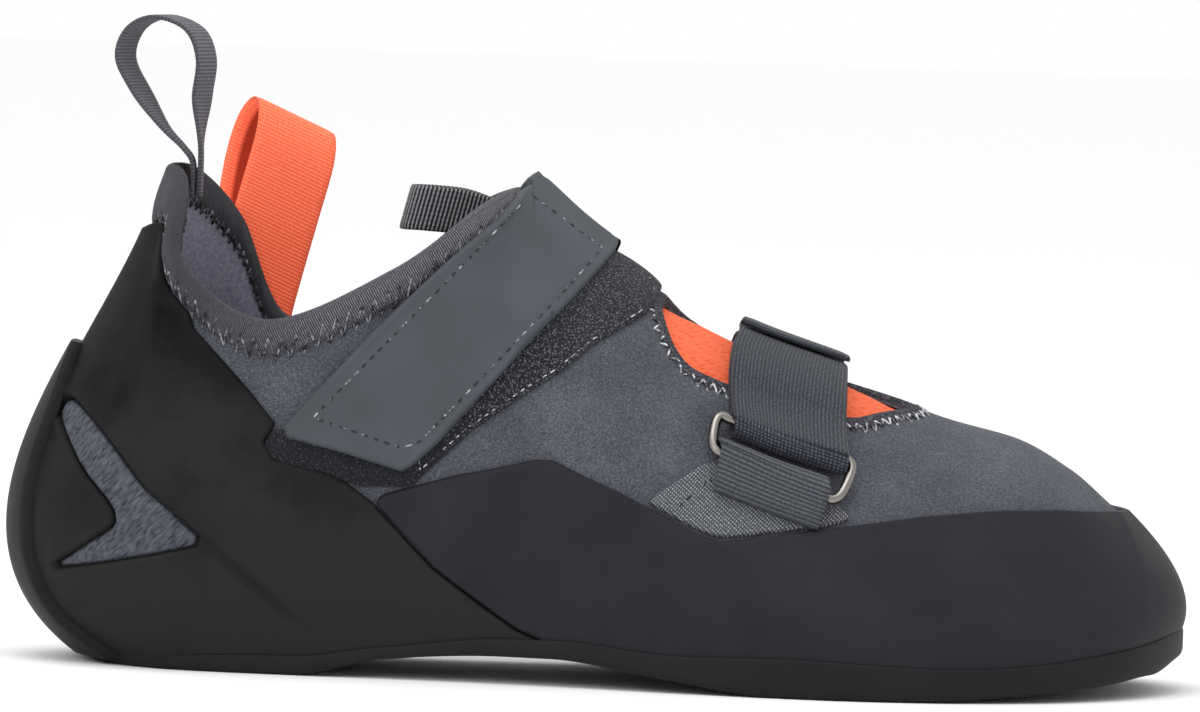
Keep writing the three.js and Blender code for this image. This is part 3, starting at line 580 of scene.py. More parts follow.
# The throat's edge is bound with a strip of dark knit, sewn down with an overlock zigzag. Its
# loops are drawn 0.6 mm apart, about twice their size, and look matt and rough
binding_width = 4.2
binding_rise = 0.4
binding_round = 0.5
edge_knit, add = finish("edge_knit", "#2B2B30", 0.95, Specular_IOR_Level=0.2)
place = add("TexCoord", out="Object")
loops = add("TexVoronoi", {"Vector": place, "Scale": 1.7 / MM}, "Distance")
greys = (0.1, "#1C1C20"), (0.45, "#35353B"), (0.8, "#55555C")
add("ValToRGB", {"Fac": loops}, to="Base Color", stops=greys)
add("Bump", {"Height": loops, "Strength": 0.7, "Distance": 0.3 * MM}, to="Normal")


def edge_levels(radius):
    return [0, 0.12 * radius, 0.4 * radius, radius]


before_apex = apex_row - 0.5
skin = Skin((before_apex, all_rows - before_apex), (0.45, 1), per_row=24, columns=60)
ground, normal = on_last(*skin.place.T, 0, parts=True)
outside = throat_field(ground)
skin.fields["strip"] = binding_width - outside / np.clip(normal[:, 2], 0.5, 1)
skin.trim("throat", (0.02, *roll_levels[1:]), outside)
skin.trim("strip", edge_levels(binding_round))
raised = worn_edge(skin) + binding_rise * rounded(skin.fields["strip"], binding_round)
wear(make("throat_binding", skin.points(raised), skin.faces, edge_knit), "knit")


def run_of(path):
    """Length from the start of a path to each of its points."""
    return np.concatenate([[0], np.cumsum(np.linalg.norm(np.diff(path, axis=0), axis=1))])


def resampled(path, pitch, start=0.0):
    """Points at even steps along an open path in mm."""
    path = np.asarray(path, float)
    run = run_of(path)
    at = np.arange(start, run[-1], pitch)
    return np.stack([np.interp(at, run, path[:, k]) for k in range(3)], 1)


def hoops(a, b, sides):
    """Points of a unit circle in the plane of each pair of directions."""
    angle = (np.arange(sides) / sides * 2 * np.pi)[None, :, None]
    return np.cos(angle) * a[:, None] + np.sin(angle) * b[:, None]


def threads(name, starts, ends, up, radius, material, bow=0.3, longest=8):
    """Sewn stitches: short bowed threads between pairs of points in mm, sunk at both ends."""
    starts, ends, up = (np.asarray(a, float) for a in (starts, ends, up))
    along = ends - starts
    real = np.linalg.norm(along, axis=1) < longest
    starts, along, up = starts[real], along[real], up[real]
    side = unit(np.cross(along, up))
    rows, sides = 6, 6
    f = np.linspace(0, 1, rows)
    rise = np.sin(np.pi * f)
    middle = starts[:, None] + along[:, None] * f[None, :, None]
    middle += up[:, None] * ((rise - 0.55) * bow)[None, :, None]
    thick = radius * (0.6 + 0.4 * rise)
    points = middle[:, :, None] + thick[None, :, None, None] * hoops(side, up, sides)[:, None]
    one = grid_faces(rows, sides, False, True)
    faces = one[None] + rows * sides * np.arange(len(starts))[:, None, None]
    points, faces = points.reshape(-1, 3), faces.reshape(-1, 4)
    return wear(make(name, points, faces, material, merge=0))


def zigzag(name, low, high, up, radius, material):
    """Threads to and fro between two rows of points."""
    count = min(len(low), len(high))
    low, high, up = low[:count], high[:count], up[: count - 1]
    starts, ends = np.vstack([low[:-1], high[:-1]]), np.vstack([high[:-1], low[1:]])
    return threads(name, starts, ends, np.vstack([up, up]), radius, material)


def cast(piece, origins, direction):
    """Where rays meet a piece, with its normals there, in mm; a miss gives nan."""
    mesh = piece.data
    faces = [p.vertices[:] for p in mesh.polygons]
    tree = BVHTree.FromPolygons([v.co for v in mesh.vertices], faces)
    found = np.full((2, len(origins), 3), np.nan)
    for k, origin in enumerate(origins):
        hit, normal, _, _ = tree.ray_cast(Vector(origin) * MM, Vector(direction))
        if hit is not None:
            found[0, k] = np.array(hit) / MM
            found[1, k] = -normal if normal.dot(Vector(direction)) > 0 else normal
    return found


def sewing_thread(name, per_mm, *stops):
    """Twisted two-ply thread, pale where it faces the light and dark where its plies turn under."""
    material, add = finish(name, stops[0][1], 0.6, Specular_IOR_Level=0.3)
    place = add("TexCoord", out="Object")
    scale = {"Scale": per_mm / MM, "Detail": 2, "Roughness": 0.7}
    plies = add("TexNoise", {"Vector": place, **scale})
    add("ValToRGB", {"Fac": plies}, to="Base Color", stops=stops)
    return material


thread = sewing_thread(
    "polyester_thread", 0.62, (0.4, "#26262A"), (0.5, "#6A6A70"), (0.6, "#D4D4D6")
)
grey_thread = sewing_thread(
    "polyester_thread_grey", 0.62, (0.4, "#1A1A1E"), (0.52, "#56565C"), (0.66, "#929298")
)
above_shoe = 200.0


def beside_throat(distance, pitch, start=0.0):
    """Points on the upper at a distance in mm outside the throat, with their normals."""
    closed = np.vstack([throat, throat[:1]])
    closed = np.column_stack([closed, np.full(len(closed), above_shoe)])
    ahead = resampled(closed, pitch, start + 0.4)
    at = resampled(closed, pitch, start)[: len(ahead)]
    run = ahead - at
    out = unit(np.column_stack([run[:, 1], -run[:, 0], np.zeros(len(run))]))
    if inside((at + out)[:3, :2], throat).mean() > 0:
        out = -out
    down = (0, 0, -1)
    level = cast(upper, at + out * 2, down)[1][:, 2:]
    return cast(upper, at + out * distance * np.clip(level, 0.5, 1), down)


stitch_pitch, stitch_radius = 2.2, 0.26
on_binding, on_upper = 2.9, 5.5  # mm from the throat to both ends of a stitch
low, up = beside_throat(on_binding, stitch_pitch)
high, _ = beside_throat(on_upper, stitch_pitch, stitch_pitch / 2)
zigzag("throat_overlock", low + up * 0.5, high, up, stitch_radius, thread)

# Lining. The back of the same microfibre, left unbrushed and dyed dark. Its felted fibres, drawn
# as tufts 0.7 mm across, give it a flat, dull face.

lining, add = finish("microfibre_back", "#6E6B7C", 0.95, Specular_IOR_Level=0.15)
place = add("TexCoord", out="Object")
felt = add("TexNoise", {"Vector": place, "Scale": 1.4 / MM, "Detail": 3})
add("ValToRGB", {"Fac": felt}, to="Base Color", stops=((0.3, "#807D92"), (0.7, "#A3A0AE")))
add("Bump", {"Height": felt, "Strength": 0.3, "Distance": 0.3 * MM}, to="Normal")

lining_rim = 2.6
# The loose back of the microfibre puckers at the ankle and behind the heel
lining_folds = table(
    "x0 z0 x1 z1 depth half",
    [
        (-4, 88, 4, 74, 0.9, 2.2),
        (-8, 84, -1, 70, -0.7, 2.5),
        (6, 80, 15, 66, 0.7, 2.6),
        (-14, 92, -9, 78, 0.6, 2.4),
    ],
)
skin = Skin(per_row=14, columns=44)
skin.trim("throat", (0.05,), throat_field(skin.points()))
skin.trim("rim", field=rim_field(skin, lining_rim))
below_rim = smooth(1 - skin.place[:, 1], 0.14, 0.22)
pucker = np.maximum(relief(skin.points(), lining_folds), 0) * below_rim
wear(make("upper_lining", skin.points(-wall - pucker), skin.faces, lining), "lining")

# Tongue. A pad faced with orange air mesh, sewn in under the throat so that it fills the cut-out.
# It is 1.6 mm thick and stands up a little in the middle of the cut.

gap = 0.3
tongue_thickness = 1.6
tongue_round = 1.5
tongue_crown = 1.2
tongue_shares = [
    (0.43, -0.1), (0.46, -0.25), (0.56, -0.33), (0.66, -0.31), (0.74, -0.22), (0.78, 0.04),
    (0.74, 0.3), (0.66, 0.37), (0.56, 0.38), (0.46, 0.3), (0.43, 0.14),
]
tongue_edge = np.array([(x_at(a), c * ball_width) for a, c in tongue_shares])

# Knitted courses 1 mm apart, with short dark slots that show between their stitches
air_mesh, add = finish("air_mesh_orange", "#E85A36", 0.85, Specular_IOR_Level=0.2)
place = add("TexCoord", out="Object")
stitches = {"Rotation": (0, 0.42, 0), "Scale": (0.43 / MM, 0.9 / MM, 1.25 / MM)}
course_at = add("Mapping", {"Vector": place, **stitches})
slots = add("TexVoronoi", {"Vector": course_at, "Scale": 1.0, "Randomness": 0.55}, "Distance")
oranges = (0.08, "#C9502E"), (0.22, "#E25E3A"), (0.55, "#EC6E48")
add("ValToRGB", {"Fac": slots}, to="Base Color", stops=oranges)
add("Bump", {"Height": slots, "Strength": 0.6, "Distance": 0.4 * MM}, to="Normal")

skin = Skin((before_apex, all_rows - before_apex), shares=(0.3, 1), columns=48)
ground = skin.points()
edge = np.where(ground[:, 2] > throat_floor, inside(ground[:, :2], tongue_edge), -20)
skin.trim("edge", edge_levels(tongue_round), edge)
crown = tongue_crown * smooth(inside(skin.points()[:, :2], throat), 0, 12)
worn_down = (1 - rounded(skin.fields["edge"], tongue_round)) * tongue_thickness
top = skin.points(-wall - gap + crown - worn_down)
bottom = skin.points(-wall - gap - tongue_thickness)
faces = np.vstack([skin.faces, skin.faces[:, ::-1] + len(top)])
tongue = make("tongue_mesh", np.vstack([top, bottom]), faces, air_mesh)
wear(tongue, "mesh", "tongue")

# Collar band. Padded knit tape folded over the top edge and sewn to the microfibre, so that it
# rolls softly inwards. Its ribs run across the edge.

knit = 0.9
collar_band_width = 8
band_half = (wall + knit) / 2  # radius of the roll
outer_puff, inner_puff = 0.7, 0.5  # of the padding, outside and inside

# Ribs half a millimetre apart, leaning a little, with melange yarn in dark and pale grey
rib_knit, add = finish("rib_knit", "#3A3A40", 0.95, Sheen_Weight=0.1, Specular_IOR_Level=0.2)
uv = add("UVMap", uv_map="weave")
turned = add("Mapping", {"Vector": uv, "Rotation": (0, 0, 0.45)})
wander = {"Distortion": 0.8, "Detail": 1, "Detail Scale": 2}
ribs = add("TexWave", {"Vector": turned, "Scale": 0.68, **wander}, "Fac")
flecks_at = add("Mapping", {"Vector": uv, "Scale": (2.2, 0.7, 1), "Rotation": (0, 0, 0.3)})
flecks = add("TexNoise", {"Vector": flecks_at, "Scale": 1.0, "Detail": 3})
tone = add("Math", {0: ribs, 1: flecks}, operation="MULTIPLY")
# Behind the heel the knit is painted darker: painted shade on the band's back, where less light
# reaches it
place = add("TexCoord", out="Object")
along = add("SeparateXYZ", {0: place}, "X")
painted_heel_shade = add("MapRange", {"Value": along, 1: -12 * MM, 2: 22 * MM, 3: 0.45, 4: 1.0})
tone = add("Math", {0: tone, 1: painted_heel_shade}, operation="MULTIPLY")
greys = (0.0, "#2E2D33"), (0.27, "#535259"), (0.6, "#87868F")
add("ValToRGB", {"Fac": tone}, to="Base Color", stops=greys)
add("Bump", {"Height": ribs, "Strength": 0.8, "Distance": 0.4 * MM}, to="Normal")


def deeper_behind(s):
    """Extra width in mm of the band's outside, which reaches further down behind the heel."""
    return 6 * np.exp(-((folded(s) / 1.1) ** 2))


def wave(length, shift=0):
    return np.sin(rim_run / length + shift)


band_end = apex_row - 0.04
band_s = np.linspace(-band_end, band_end, 301)
rim_run = run_of(on_last(band_s, 1.0, 0))
ripple = 0.22 * wave(2.3) * wave(9, 1) + 0.12 * wave(1.1)
sections, across = [], []
for f, width in zip(np.linspace(0, 1, 9), np.linspace(collar_band_width, band_half, 9)):
    puff = knit * rounded(f, 0.45) + (outer_puff + ripple) * math.sin(math.pi * f)
    deeper = width + deeper_behind(band_s) * (1 - f)
    sections.append(on_last(band_s, share_below(band_s, deeper), 0.05 + puff))
    across.append(width)
share = share_below(band_s, band_half)
middle, normal = on_last(band_s, share, (knit - wall) / 2, parts=True)
upwards = unit(last_surface(band_s, share + 0.01) - last_surface(band_s, share - 0.01))
for angle in np.linspace(0, math.pi, 9)[1:-1]:
    reach = math.cos(angle) * normal + math.sin(angle) * upwards
    sections.append(middle + band_half * reach)
    across.append(-angle * band_half)
for f, width in zip(np.linspace(0, 1, 7), np.linspace(band_half, collar_band_width, 7)):
    puff = (inner_puff + ripple) * math.sin(math.pi * f)
    sections.append(on_last(band_s, share_below(band_s, width), -wall - 0.05 - puff))
    across.append(-width - math.pi * band_half)
points = np.stack(sections, 1).reshape(-1, 3)
around = len(sections)
faces = grid_faces(len(band_s), around, False, True).tolist()
faces += [list(range(around)), list(range(len(points) - around, len(points)))]
band = make("collar_knit", points, faces, rib_knit, crossed(rim_run, across))
wear(band, "knit", "collar_band")


def band_seam(name, pitch, lower, higher, sign):
    """Zigzag between two (width below the rim, distance from the last) lines, all round."""
    at = np.interp(np.arange(0, rim_run[-1], pitch / 2), rim_run, band_s)
    extra = deeper_behind(at) * (sign > 0)
    (low, up), (high, _) = (
        on_last(at, share_below(at, width + extra), distance - 0.13 * extra, parts=True)
        for width, distance in (lower, higher)
    )
    zigzag(name, low[0::2], high[1::2], up[0::2] * sign, 0.25, grey_thread)


band_seam("collar_zigzag", 3.1, (collar_band_width + 1.1, 0.2), (collar_band_width - 3.6, 2.0), 1)
band_seam("collar_inner_zigzag", 2.2, (9.0, -wall - 0.3), (6.4, -wall - 0.75), -1)

# Insole. A thin board faced with the lining's felt, laid in the bottom of the shoe, a little
# inside the upper's wall.

board_thickness = 3


def sole_cut(s):
    """Share of each column, from the lower edge, at which it leaves the outsole's top."""
    low, high = np.zeros(len(s)), np.full(len(s), 0.4)
    for _ in range(18):
        t = (low + high) / 2
        p = last_surface(s, t)
        under = p[:, 2] < sole_top(p[:, 0])
        low, high = np.where(under, t, low), np.where(under, high, t)
    return low


def heel_to_toe(count):
    """Places along the lateral side, closer together at both ends."""
    return toe_row * (1 - np.cos(np.linspace(0, math.pi, count))) / 2


board_rows, board_columns = 81, 15
board_inset = 1.5  # from the inside of the upper
board_s = heel_to_toe(board_rows)
board_edge = -wall - gap - board_inset
lateral = on_last(board_s, sole_cut(board_s), board_edge)
medial = on_last(all_rows - board_s, sole_cut(np.mod(all_rows - board_s, all_rows)), board_edge)
across = np.linspace(0, 1, board_columns)[None, :, None]
board = (lateral[:, None, :] * (1 - across) + medial[:, None, :] * across).reshape(-1, 3)
board[:, 2] = sole_top(board[:, 0]) + gap + board_thickness
under = board - (0, 0, board_thickness)
faces = grid_faces(board_rows, board_columns)
faces = np.vstack([faces, faces[:, ::-1] + len(board)])
insole = make("insole_board", np.vstack([board, under]), faces, lining)
wear(insole, "lining", "insole")

# Rand. Sheet rubber stretched round the toe and both sides, cut by hand and cemented on, so its
# edge is crisp and its face has the dull sheen of a wiped sheet.


def outline(rows, height):
    """Points in mm, seen from the side, of rows of shares of the length and of a height."""
    return np.array([(x_at(along), up * height) for along, up in rows])


rubber = 1.7
rubber_round = 0.7
joint = [
    (0.452, -0.1), (0.452, 0.092), (0.432, 0.111), (0.406, 0.151), (0.362, 0.224),
    (0.339, 0.278), (0.309, 0.352),
]
rand_top = [
    (0.316, 0.368), (0.329, 0.378), (0.38, 0.414), (0.401, 0.424), (0.442, 0.448),
    (0.457, 0.449), (0.479, 0.425), (0.51, 0.393), (0.542, 0.357), (0.576, 0.316),
    (0.597, 0.3), (0.633, 0.311), (0.708, 0.337), (0.762, 0.354), (0.831, 0.367),
    (0.88, 0.368), (0.92, 0.36), (0.95, 0.353), (1.1, 0.33), (1.1, -0.1),
]
rand_outline = np.vstack([outline(joint, heel_height) + (0.3, 0), outline(rand_top, heel_height)])


def sheet_rubber(name, colour, pale, painted_height_shade=0.0, gloss=0.13):
    """Cemented sheet rubber: matt black with a faint bloom, painted paler towards the ground and
    darker towards the top if asked, as painted shade.
    """
    material, add = finish(name, colour, 0.6, Specular_IOR_Level=gloss)
    place = add("TexCoord", out="Object")
    # Wiped patches of bloom about 26 mm across, which dull the sheet
    cloudy = {"Scale": 0.038 / MM, "Detail": 5, "Roughness": 0.6}
    bloom = add("TexNoise", {"Vector": place, **cloudy})
    # Painted shade by height: the tone is raised towards the ground, so the top of the sheet reads
    # darker
    level = add("SeparateXYZ", {0: place}, "Z")
    height_shade_tone = add("MapRange", {"Value": level, 1: 0.0, 2: 75 * MM, 3: painted_height_shade, 4: 0.0})
    tone = add("Math", {0: bloom, 1: height_shade_tone}, operation="ADD")
    add("ValToRGB", {"Fac": tone}, to="Base Color", stops=((0.35, colour), (0.75, pale)))
    add("MapRange", {"Value": bloom, 1: 0.3, 2: 0.7, 3: 0.48, 4: 0.68}, to="Roughness")
    # Talc grain, drawn 0.4 mm across because its own dust is too fine to show
    grain = add("TexNoise", {"Vector": place, "Scale": 2.4 / MM, "Detail": 2})
    add("Bump", {"Height": grain, "Strength": 0.15, "Distance": 0.1 * MM}, to="Normal")
    return material


def side_field(skin, lateral, medial=None):
    """Distance inside a side outline, with another outline for the medial half if given."""
    ground = skin.points()[:, [0, 2]]
    field = inside(ground, lateral)
    if medial is None:
        return field
    return np.where(skin.place[:, 0] <= toe_row, field, inside(ground, medial))


def panel(name, cut, low, high, radius, material, floor=True, detail=None, **patch):
    """Sheet on a patch of the last between two distances, with quarter-round edges.

    It is cut to an outline or to a function that gives the distance inside one, and at the
    floor to the outsole's top.
    """
    skin = Skin(**patch)
    ground = skin.points()
    skin.fields["edge"] = cut(skin) if callable(cut) else side_field(skin, cut)
    if floor:
        tucked = 1.5  # below the outsole's top
        skin.trim("floor", field=ground[:, 2] - sole_top(ground[:, 0]) + tucked)
    skin.trim("edge", edge_levels(radius))
    flat = skin.points()
    height = low + (high - low) * rounded(skin.fields["edge"], radius) + relief(flat)
    if detail:
        height += detail(skin)
    return make(name, skin.points(height), skin.faces, material, flat[:, [0, 2]])


# The rand's sheet is a bluish black and evenly clean
rand_rubber = sheet_rubber("sheet_rubber_rand", "#1F1E23", "#28272D")
rand = panel("rand_sheet", rand_outline, 0, gap + rubber, rubber_round, rand_rubber)
wear(rand, "rand_rubber", "rand")

# Heel rubber. A second sheet pulled tight over the heel like a sling, with an arrow-shaped window
# on each side, its edge skived at the collar.

heel_top = [
    (0.286, 0.39), (0.267, 0.409), (0.226, 0.428), (0.217, 0.462), (0.226, 0.5),
    (0.202, 0.567), (0.155, 0.682), (0.148, 0.74), (0.148, 1.2), (-0.2, 1.2), (-0.2, -0.1),
]
arrow = [
    (0.045, 0.499), (0.054, 0.527), (0.066, 0.512), (0.091, 0.449), (0.12, 0.362),
    (0.139, 0.328), (0.172, 0.258), (0.129, 0.232), (0.078, 0.207), (0.043, 0.192),
    (0.071, 0.244), (0.097, 0.287), (0.093, 0.324), (0.067, 0.39), (0.049, 0.467),
]
heel_outline = outline(joint + heel_top, heel_height)


def eased(points):
    """Corners of a closed outline cut off, so that it reads as a hand-cut curve."""
    after = np.roll(points, -1, 0)
    return np.stack([0.8 * points + 0.2 * after, 0.2 * points + 0.8 * after], 1).reshape(-1, 2)


window = eased(outline(arrow, heel_height))


def heel_field(skin):
    """Inside the sling's outline, outside its window and below the collar band."""
    skin.fields["hole"] = -side_field(skin, window)
    below = rim_field(skin, collar_band_width + 0.6 + deeper_behind(skin.place[:, 0]))
    return np.minimum(np.minimum(side_field(skin, heel_outline), skin.fields["hole"]), below)


def window_lip(skin):
    """The sheet stands up a little round its window."""
    return 0.3 * np.exp(-(((skin.fields["hole"] - 0.9) / 0.6) ** 2))


# The heel's sheet is painted deep black at the top and paler grey towards the sole: painted shade
# by height
heel_sheet = sheet_rubber("sheet_rubber_heel", "#0B0B0E", "#282828", 0.36, 0.04)
heel = panel(
    "heel_sling", heel_field, 0, gap + rubber, rubber_round, heel_sheet,
    detail=window_lip, rows=(-7, 7), per_row=34, columns=110,
)
wear(heel, "heel_rubber", "heel_rubber")

# Heel inserts. Grained grey synthetic, the upper's own reinforcement, seen through the windows.
# Its embossed wrinkles catch the light in short streaks.

insert_thickness = 1.0
insert_round = 0.6
# Wrinkled grain half a millimetre wide, drawn out across the arrow's arm
grained, add = finish("grained_synthetic", "#3E3F49", 0.6, Specular_IOR_Level=0.2)
place = add("TexCoord", out="Object")
turned = add("Mapping", {"Vector": place, "Rotation": (0, -0.75, 0)})
grain_at = add("Mapping", {"Vector": turned, "Scale": (2 / MM, 1.3 / MM, 0.42 / MM)})
wrinkle = add("TexNoise", {"Vector": grain_at, "Scale": 1.0, "Detail": 4, "Roughness": 0.65})
greys = (0.34, "#24252C"), (0.48, "#42444D"), (0.7, "#5C5E68")
add("ValToRGB", {"Fac": wrinkle}, to="Base Color", stops=greys)
add("Bump", {"Height": wrinkle, "Strength": 0.4, "Distance": 0.3 * MM}, to="Normal")

for side, rows in (("lateral", (-0.2, 5)), ("medial", (-5, 0.2))):
    insert = panel(
        f"heel_insert_{side}_skin", lambda k: side_field(k, window) - 0.2,
        0, gap + insert_thickness, insert_round, grained,
        floor=False, rows=rows, shares=(0.05, 0.7), per_row=26, columns=60,
    )
    wear(insert, "insert", f"heel_insert_{side}")

# Outsole. A 4 to 9 mm plate of climbing rubber, ground to the last's outline, with a strip that
# wraps up the back of the heel. Its edges are sharp at the toe and ground round at the heel.

over_rubber = 2 * gap + rubber
sole_edge = gap + rubber + 0.8
wrap_thickness = 2
# Ground rubber, a plain black a shade deeper than the sheets, with the same dull bloom
sole_rubber = sheet_rubber("ground_rubber_sole", "#171717", "#212122")


def heel_share(s):
    return np.maximum(0, 1 - folded(s) / 2) ** 2


def ground_underside(x):
    """Underside as it is ground, a little fuller under the toe than the last's spring."""
    return sole_underside(x) - 1.6 * np.exp(-(((along_at(x) - 0.982) / 0.02) ** 2))


def sole_section(s):
    """Rounded edge of the plate at places s, from its top inwards down to its underside."""
    cut = sole_cut(np.mod(s, all_rows))
    full = sole_edge + (over_rubber + wrap_thickness - sole_edge) * heel_share(s)
    edge_round = 1.3 + 4 * heel_share(s)
    # Distance in from the edge, and share of the thickness
    rows = [(2.4, 1), (0.35, 1), (0.1, 0.97), (0, 0.9)]
    for angle in np.linspace(0, math.pi / 2, 7):
        rows.append((edge_round * (1 - math.cos(angle)), 0.3 * (1 - math.sin(angle))))
    section = []
    for inset, level in rows:
        p = on_last(s, cut, full - inset)
        low, high = ground_underside(p[:, 0]), sole_top(p[:, 0])
        p[:, 2] = low + (high - low) * level
        section.append(p)
    return np.stack(section, 1)


plate_s = heel_to_toe(221)
near = sole_section(plate_s)
far = sole_section(all_rows - plate_s)[:, ::-1]
across = np.linspace(0, 1, 18)[1:-1][None, :, None]
bottom = near[:, -1:, :] * (1 - across) + far[:, :1, :] * across
bottom[..., 2] = ground_underside(bottom[..., 0])
plate = np.concatenate([near, bottom, far], 1)
faces = grid_faces(*plate.shape[:2])
outsole = make("outsole_plate", plate.reshape(-1, 3), faces, sole_rubber)
wear(outsole, "sole_rubber", "outsole")

# Heel wrap: its half-widths, in rows, from the sole up to its rounded end
wrap_halves = np.array([1.4, 0.85, 0.68, 0.62, 0.58, 0.52, 0.28])
wrap_top = 0.625
wrap_end = 0.06  # share of its length that its end rounds off
row_run, wrap_run = 24, 118  # mm to a row and to a column there
near_edge = np.array([0, 0.02, 0.06, 0.14])
u = np.concatenate([near_edge, np.linspace(0.25, 1.75, 17), 2 - near_edge[::-1]]) - 1
v = np.concatenate([np.linspace(0, 0.95, 48), [0.965, 0.98, 0.992, 1]])
U, V = crossed(u, v).T
half = through(lambda k: wrap_halves[np.clip(k, 0, 6)], V * 6)
narrowed = 0.65 + 0.35 * rounded(1 - V, wrap_end)
edge_inset = np.minimum((1 - np.abs(U)) * half * row_run, (1 - V) * wrap_top * wrap_run)
lift = over_rubber - 0.4 + (wrap_thickness + 0.4) * rounded(edge_inset, 0.8)
wrap = on_last(U * half * narrowed, V * wrap_top, lift)
wrap[:, 2] = np.maximum(wrap[:, 2], 1.0)
heel_wrap = make("outsole_heel_wrap", wrap, grid_faces(len(u), len(v)), sole_rubber)
wear(heel_wrap, "sole_rubber")

# Loop patch. Knitted pile, the soft half of a hook-and-loop closure, sewn flat on the instep.
# Below the strap's lower end its specks are painted darker, as painted shade.

patch_shares = [
    (0.5, 0.9), (0.527, 0.885), (0.543, 0.8), (0.53, 0.754), (0.488, 0.694), (0.46, 0.636),
    (0.434, 0.594), (0.388, 0.511), (0.34, 0.397), (0.3, 0.392), (0.272, 0.41), (0.238, 0.425),
    (0.214, 0.455), (0.222, 0.5), (0.31, 0.53), (0.36, 0.6), (0.46, 0.85),
]
patch_outline = outline(patch_shares, instep_height)
pile_height, pile_round = 0.8, 0.6
# Tufts about 0.5 mm apart, dark and matt; here and there one lies over and catches the light
pile, add = finish("loop_pile", "#26272C", 1.0, Sheen_Weight=0.1, Specular_IOR_Level=0.15)
place = add("TexCoord", out="Object")
tufts = add("TexVoronoi", {"Vector": place, "Scale": 1.9 / MM}, "Distance")
lie = add("TexNoise", {"Vector": place, "Scale": 1.7 / MM, "Detail": 3, "Roughness": 0.8})
speck = add("Math", {0: lie, 1: tufts}, operation="SUBTRACT")
# Painted shade: below the strap's end, where the strap shades it, fewer of the pile's specks are
# pale
level = add("SeparateXYZ", {0: place}, "Z")
painted_shade_under_strap = add("MapRange", {"Value": level, 1: 49 * MM, 2: 57 * MM, 3: 0.16, 4: 0.0})
speck = add("Math", {0: speck, 1: painted_shade_under_strap}, operation="SUBTRACT")
greys = (0.0, "#1F2025"), (0.2, "#44464D"), (0.42, "#868891")
add("ValToRGB", {"Fac": speck}, to="Base Color", stops=greys)
add("Bump", {"Height": speck, "Strength": 1.0, "Distance": 0.6 * MM}, to="Normal")


def top_swell(skin):
    """The pile stands fuller where it rolls over the instep in front of the strap."""
    forward = (skin.points()[:, 0] - x_at(0.515)) / 9
    upward = (1 - skin.place[:, 1]) / 0.2
    return 1.6 * np.exp(-(forward**2) - upward**2) * rounded(skin.fields["edge"], 3)


def running_stitch(name, piece, path, pitch, length, material, radius=0.2, side=-1):
    """A row of threads laid on a piece along a path of x and z seen from one side."""
    beside_shoe = 150.0 * side
    path = np.column_stack([path[:, 0], np.full(len(path), beside_shoe), path[:, 1]])
    ends = resampled(path, pitch, length)
    starts = resampled(path, pitch)[: len(ends)]
    inwards = (0, -side, 0)
    a, up = cast(piece, starts, inwards)
    b, _ = cast(piece, ends, inwards)
    return threads(name, a, b, up, radius, material, 0.25, 2.2 * length)


def drawn_in(polygon, distance, step=0.6):
    """Closed path inside a closed outline of points, at a distance in mm from it."""
    turn = -1 if np.sum(np.cross(polygon, np.roll(polygon, -1, 0))) > 0 else 1
    path = []
    for p, q in zip(polygon, np.roll(polygon, -1, 0)):
        along = q - p
        length = np.linalg.norm(along)
        out = np.array([-along[1], along[0]]) / max(length, 1e-9) * turn
        for f in np.arange(0, 1, step / max(length, step)):
            path.append(p + along * f - out * distance)
    path = np.array(path)
    return path[inside(path, polygon) > distance - 0.06]


patch = panel(
    "loop_patch_pile", patch_outline, 0, gap + pile_height, pile_round, pile,
    floor=False, detail=top_swell, rows=(2, 9), shares=(0.2, 1), per_row=24, columns=70,
)
wear(patch, "loop_pile", "loop_patch")
patch_seam = drawn_in(patch_outline, 1.3)
patch_seam = patch_seam[patch_seam[:, 0] > x_at(0.345)]
running_stitch("loop_patch_seam", patch, patch_seam, 1.9, 1.3, thread, 0.16)

# Closure strap. Coated synthetic with a folded border, sewn along both edges, that crosses the
# instep from its medial seam and presses down on the loop patch.

strap_front = [(0.47, 1.13), (0.53, 0.98), (0.511, 0.905), (0.501, 0.868)]
strap_rear = [(0.417, 0.99), (0.425, 1.006)]
strap_end = [
    (0.445, 0.724), (0.405, 0.612), (0.362, 0.487), (0.341, 0.438), (0.332, 0.426),
    (0.281, 0.461), (0.236, 0.486), (0.232, 0.508), (0.245, 0.545), (0.307, 0.718),
]
sewn_end = [(0.49, 0.75), (0.47, 0.6), (0.37, 0.57), (0.385, 0.75)]
strap_lateral, strap_medial = (
    outline(strap_front + end + strap_rear, instep_height) for end in (strap_end, sewn_end)
)
under_strap = knit + 2 * gap
strap_thickness = 1.8
strap_round = 0.9
seam_inset = 2.5
# Polyurethane skin: an even grey, a little cloudy, with pores drawn 0.4 mm across so that they
# break its soft shine
strap_cloth, add = finish("coated_synthetic", "#43474D", 0.7, Specular_IOR_Level=0.25)
place = add("TexCoord", out="Object")
pores = add("TexNoise", {"Vector": place, "Scale": 2.6 / MM, "Detail": 3})
wash = add("TexNoise", {"Vector": place, "Scale": 0.06 / MM, "Detail": 2})
add("ValToRGB", {"Fac": wash}, to="Base Color", stops=((0.35, "#414449"), (0.65, "#474B51")))
add("Bump", {"Height": pores, "Strength": 0.2, "Distance": 0.15 * MM}, to="Normal")


def strap_form(skin):
    """Groove where the seam pulls the cloth in, and a crisp fold over the instep."""
    inset = skin.fields["edge"]
    groove = -0.2 * np.exp(-(((inset - seam_inset) / 0.45) ** 2))
    fold = 1.5 * np.exp(-(1 - skin.place[:, 1]) / 0.06)
    rear_corner, spread = (62, 105), 10
    away = skin.points()[:, [0, 2]] - rear_corner
    lifted = 1.3 * np.exp(-np.sum(away**2, 1) / spread**2)
    return groove + (fold + lifted) * rounded(inset, strap_round)


def strap_field(skin):
    return np.minimum(side_field(skin, strap_lateral, strap_medial), rim_field(skin, 0))


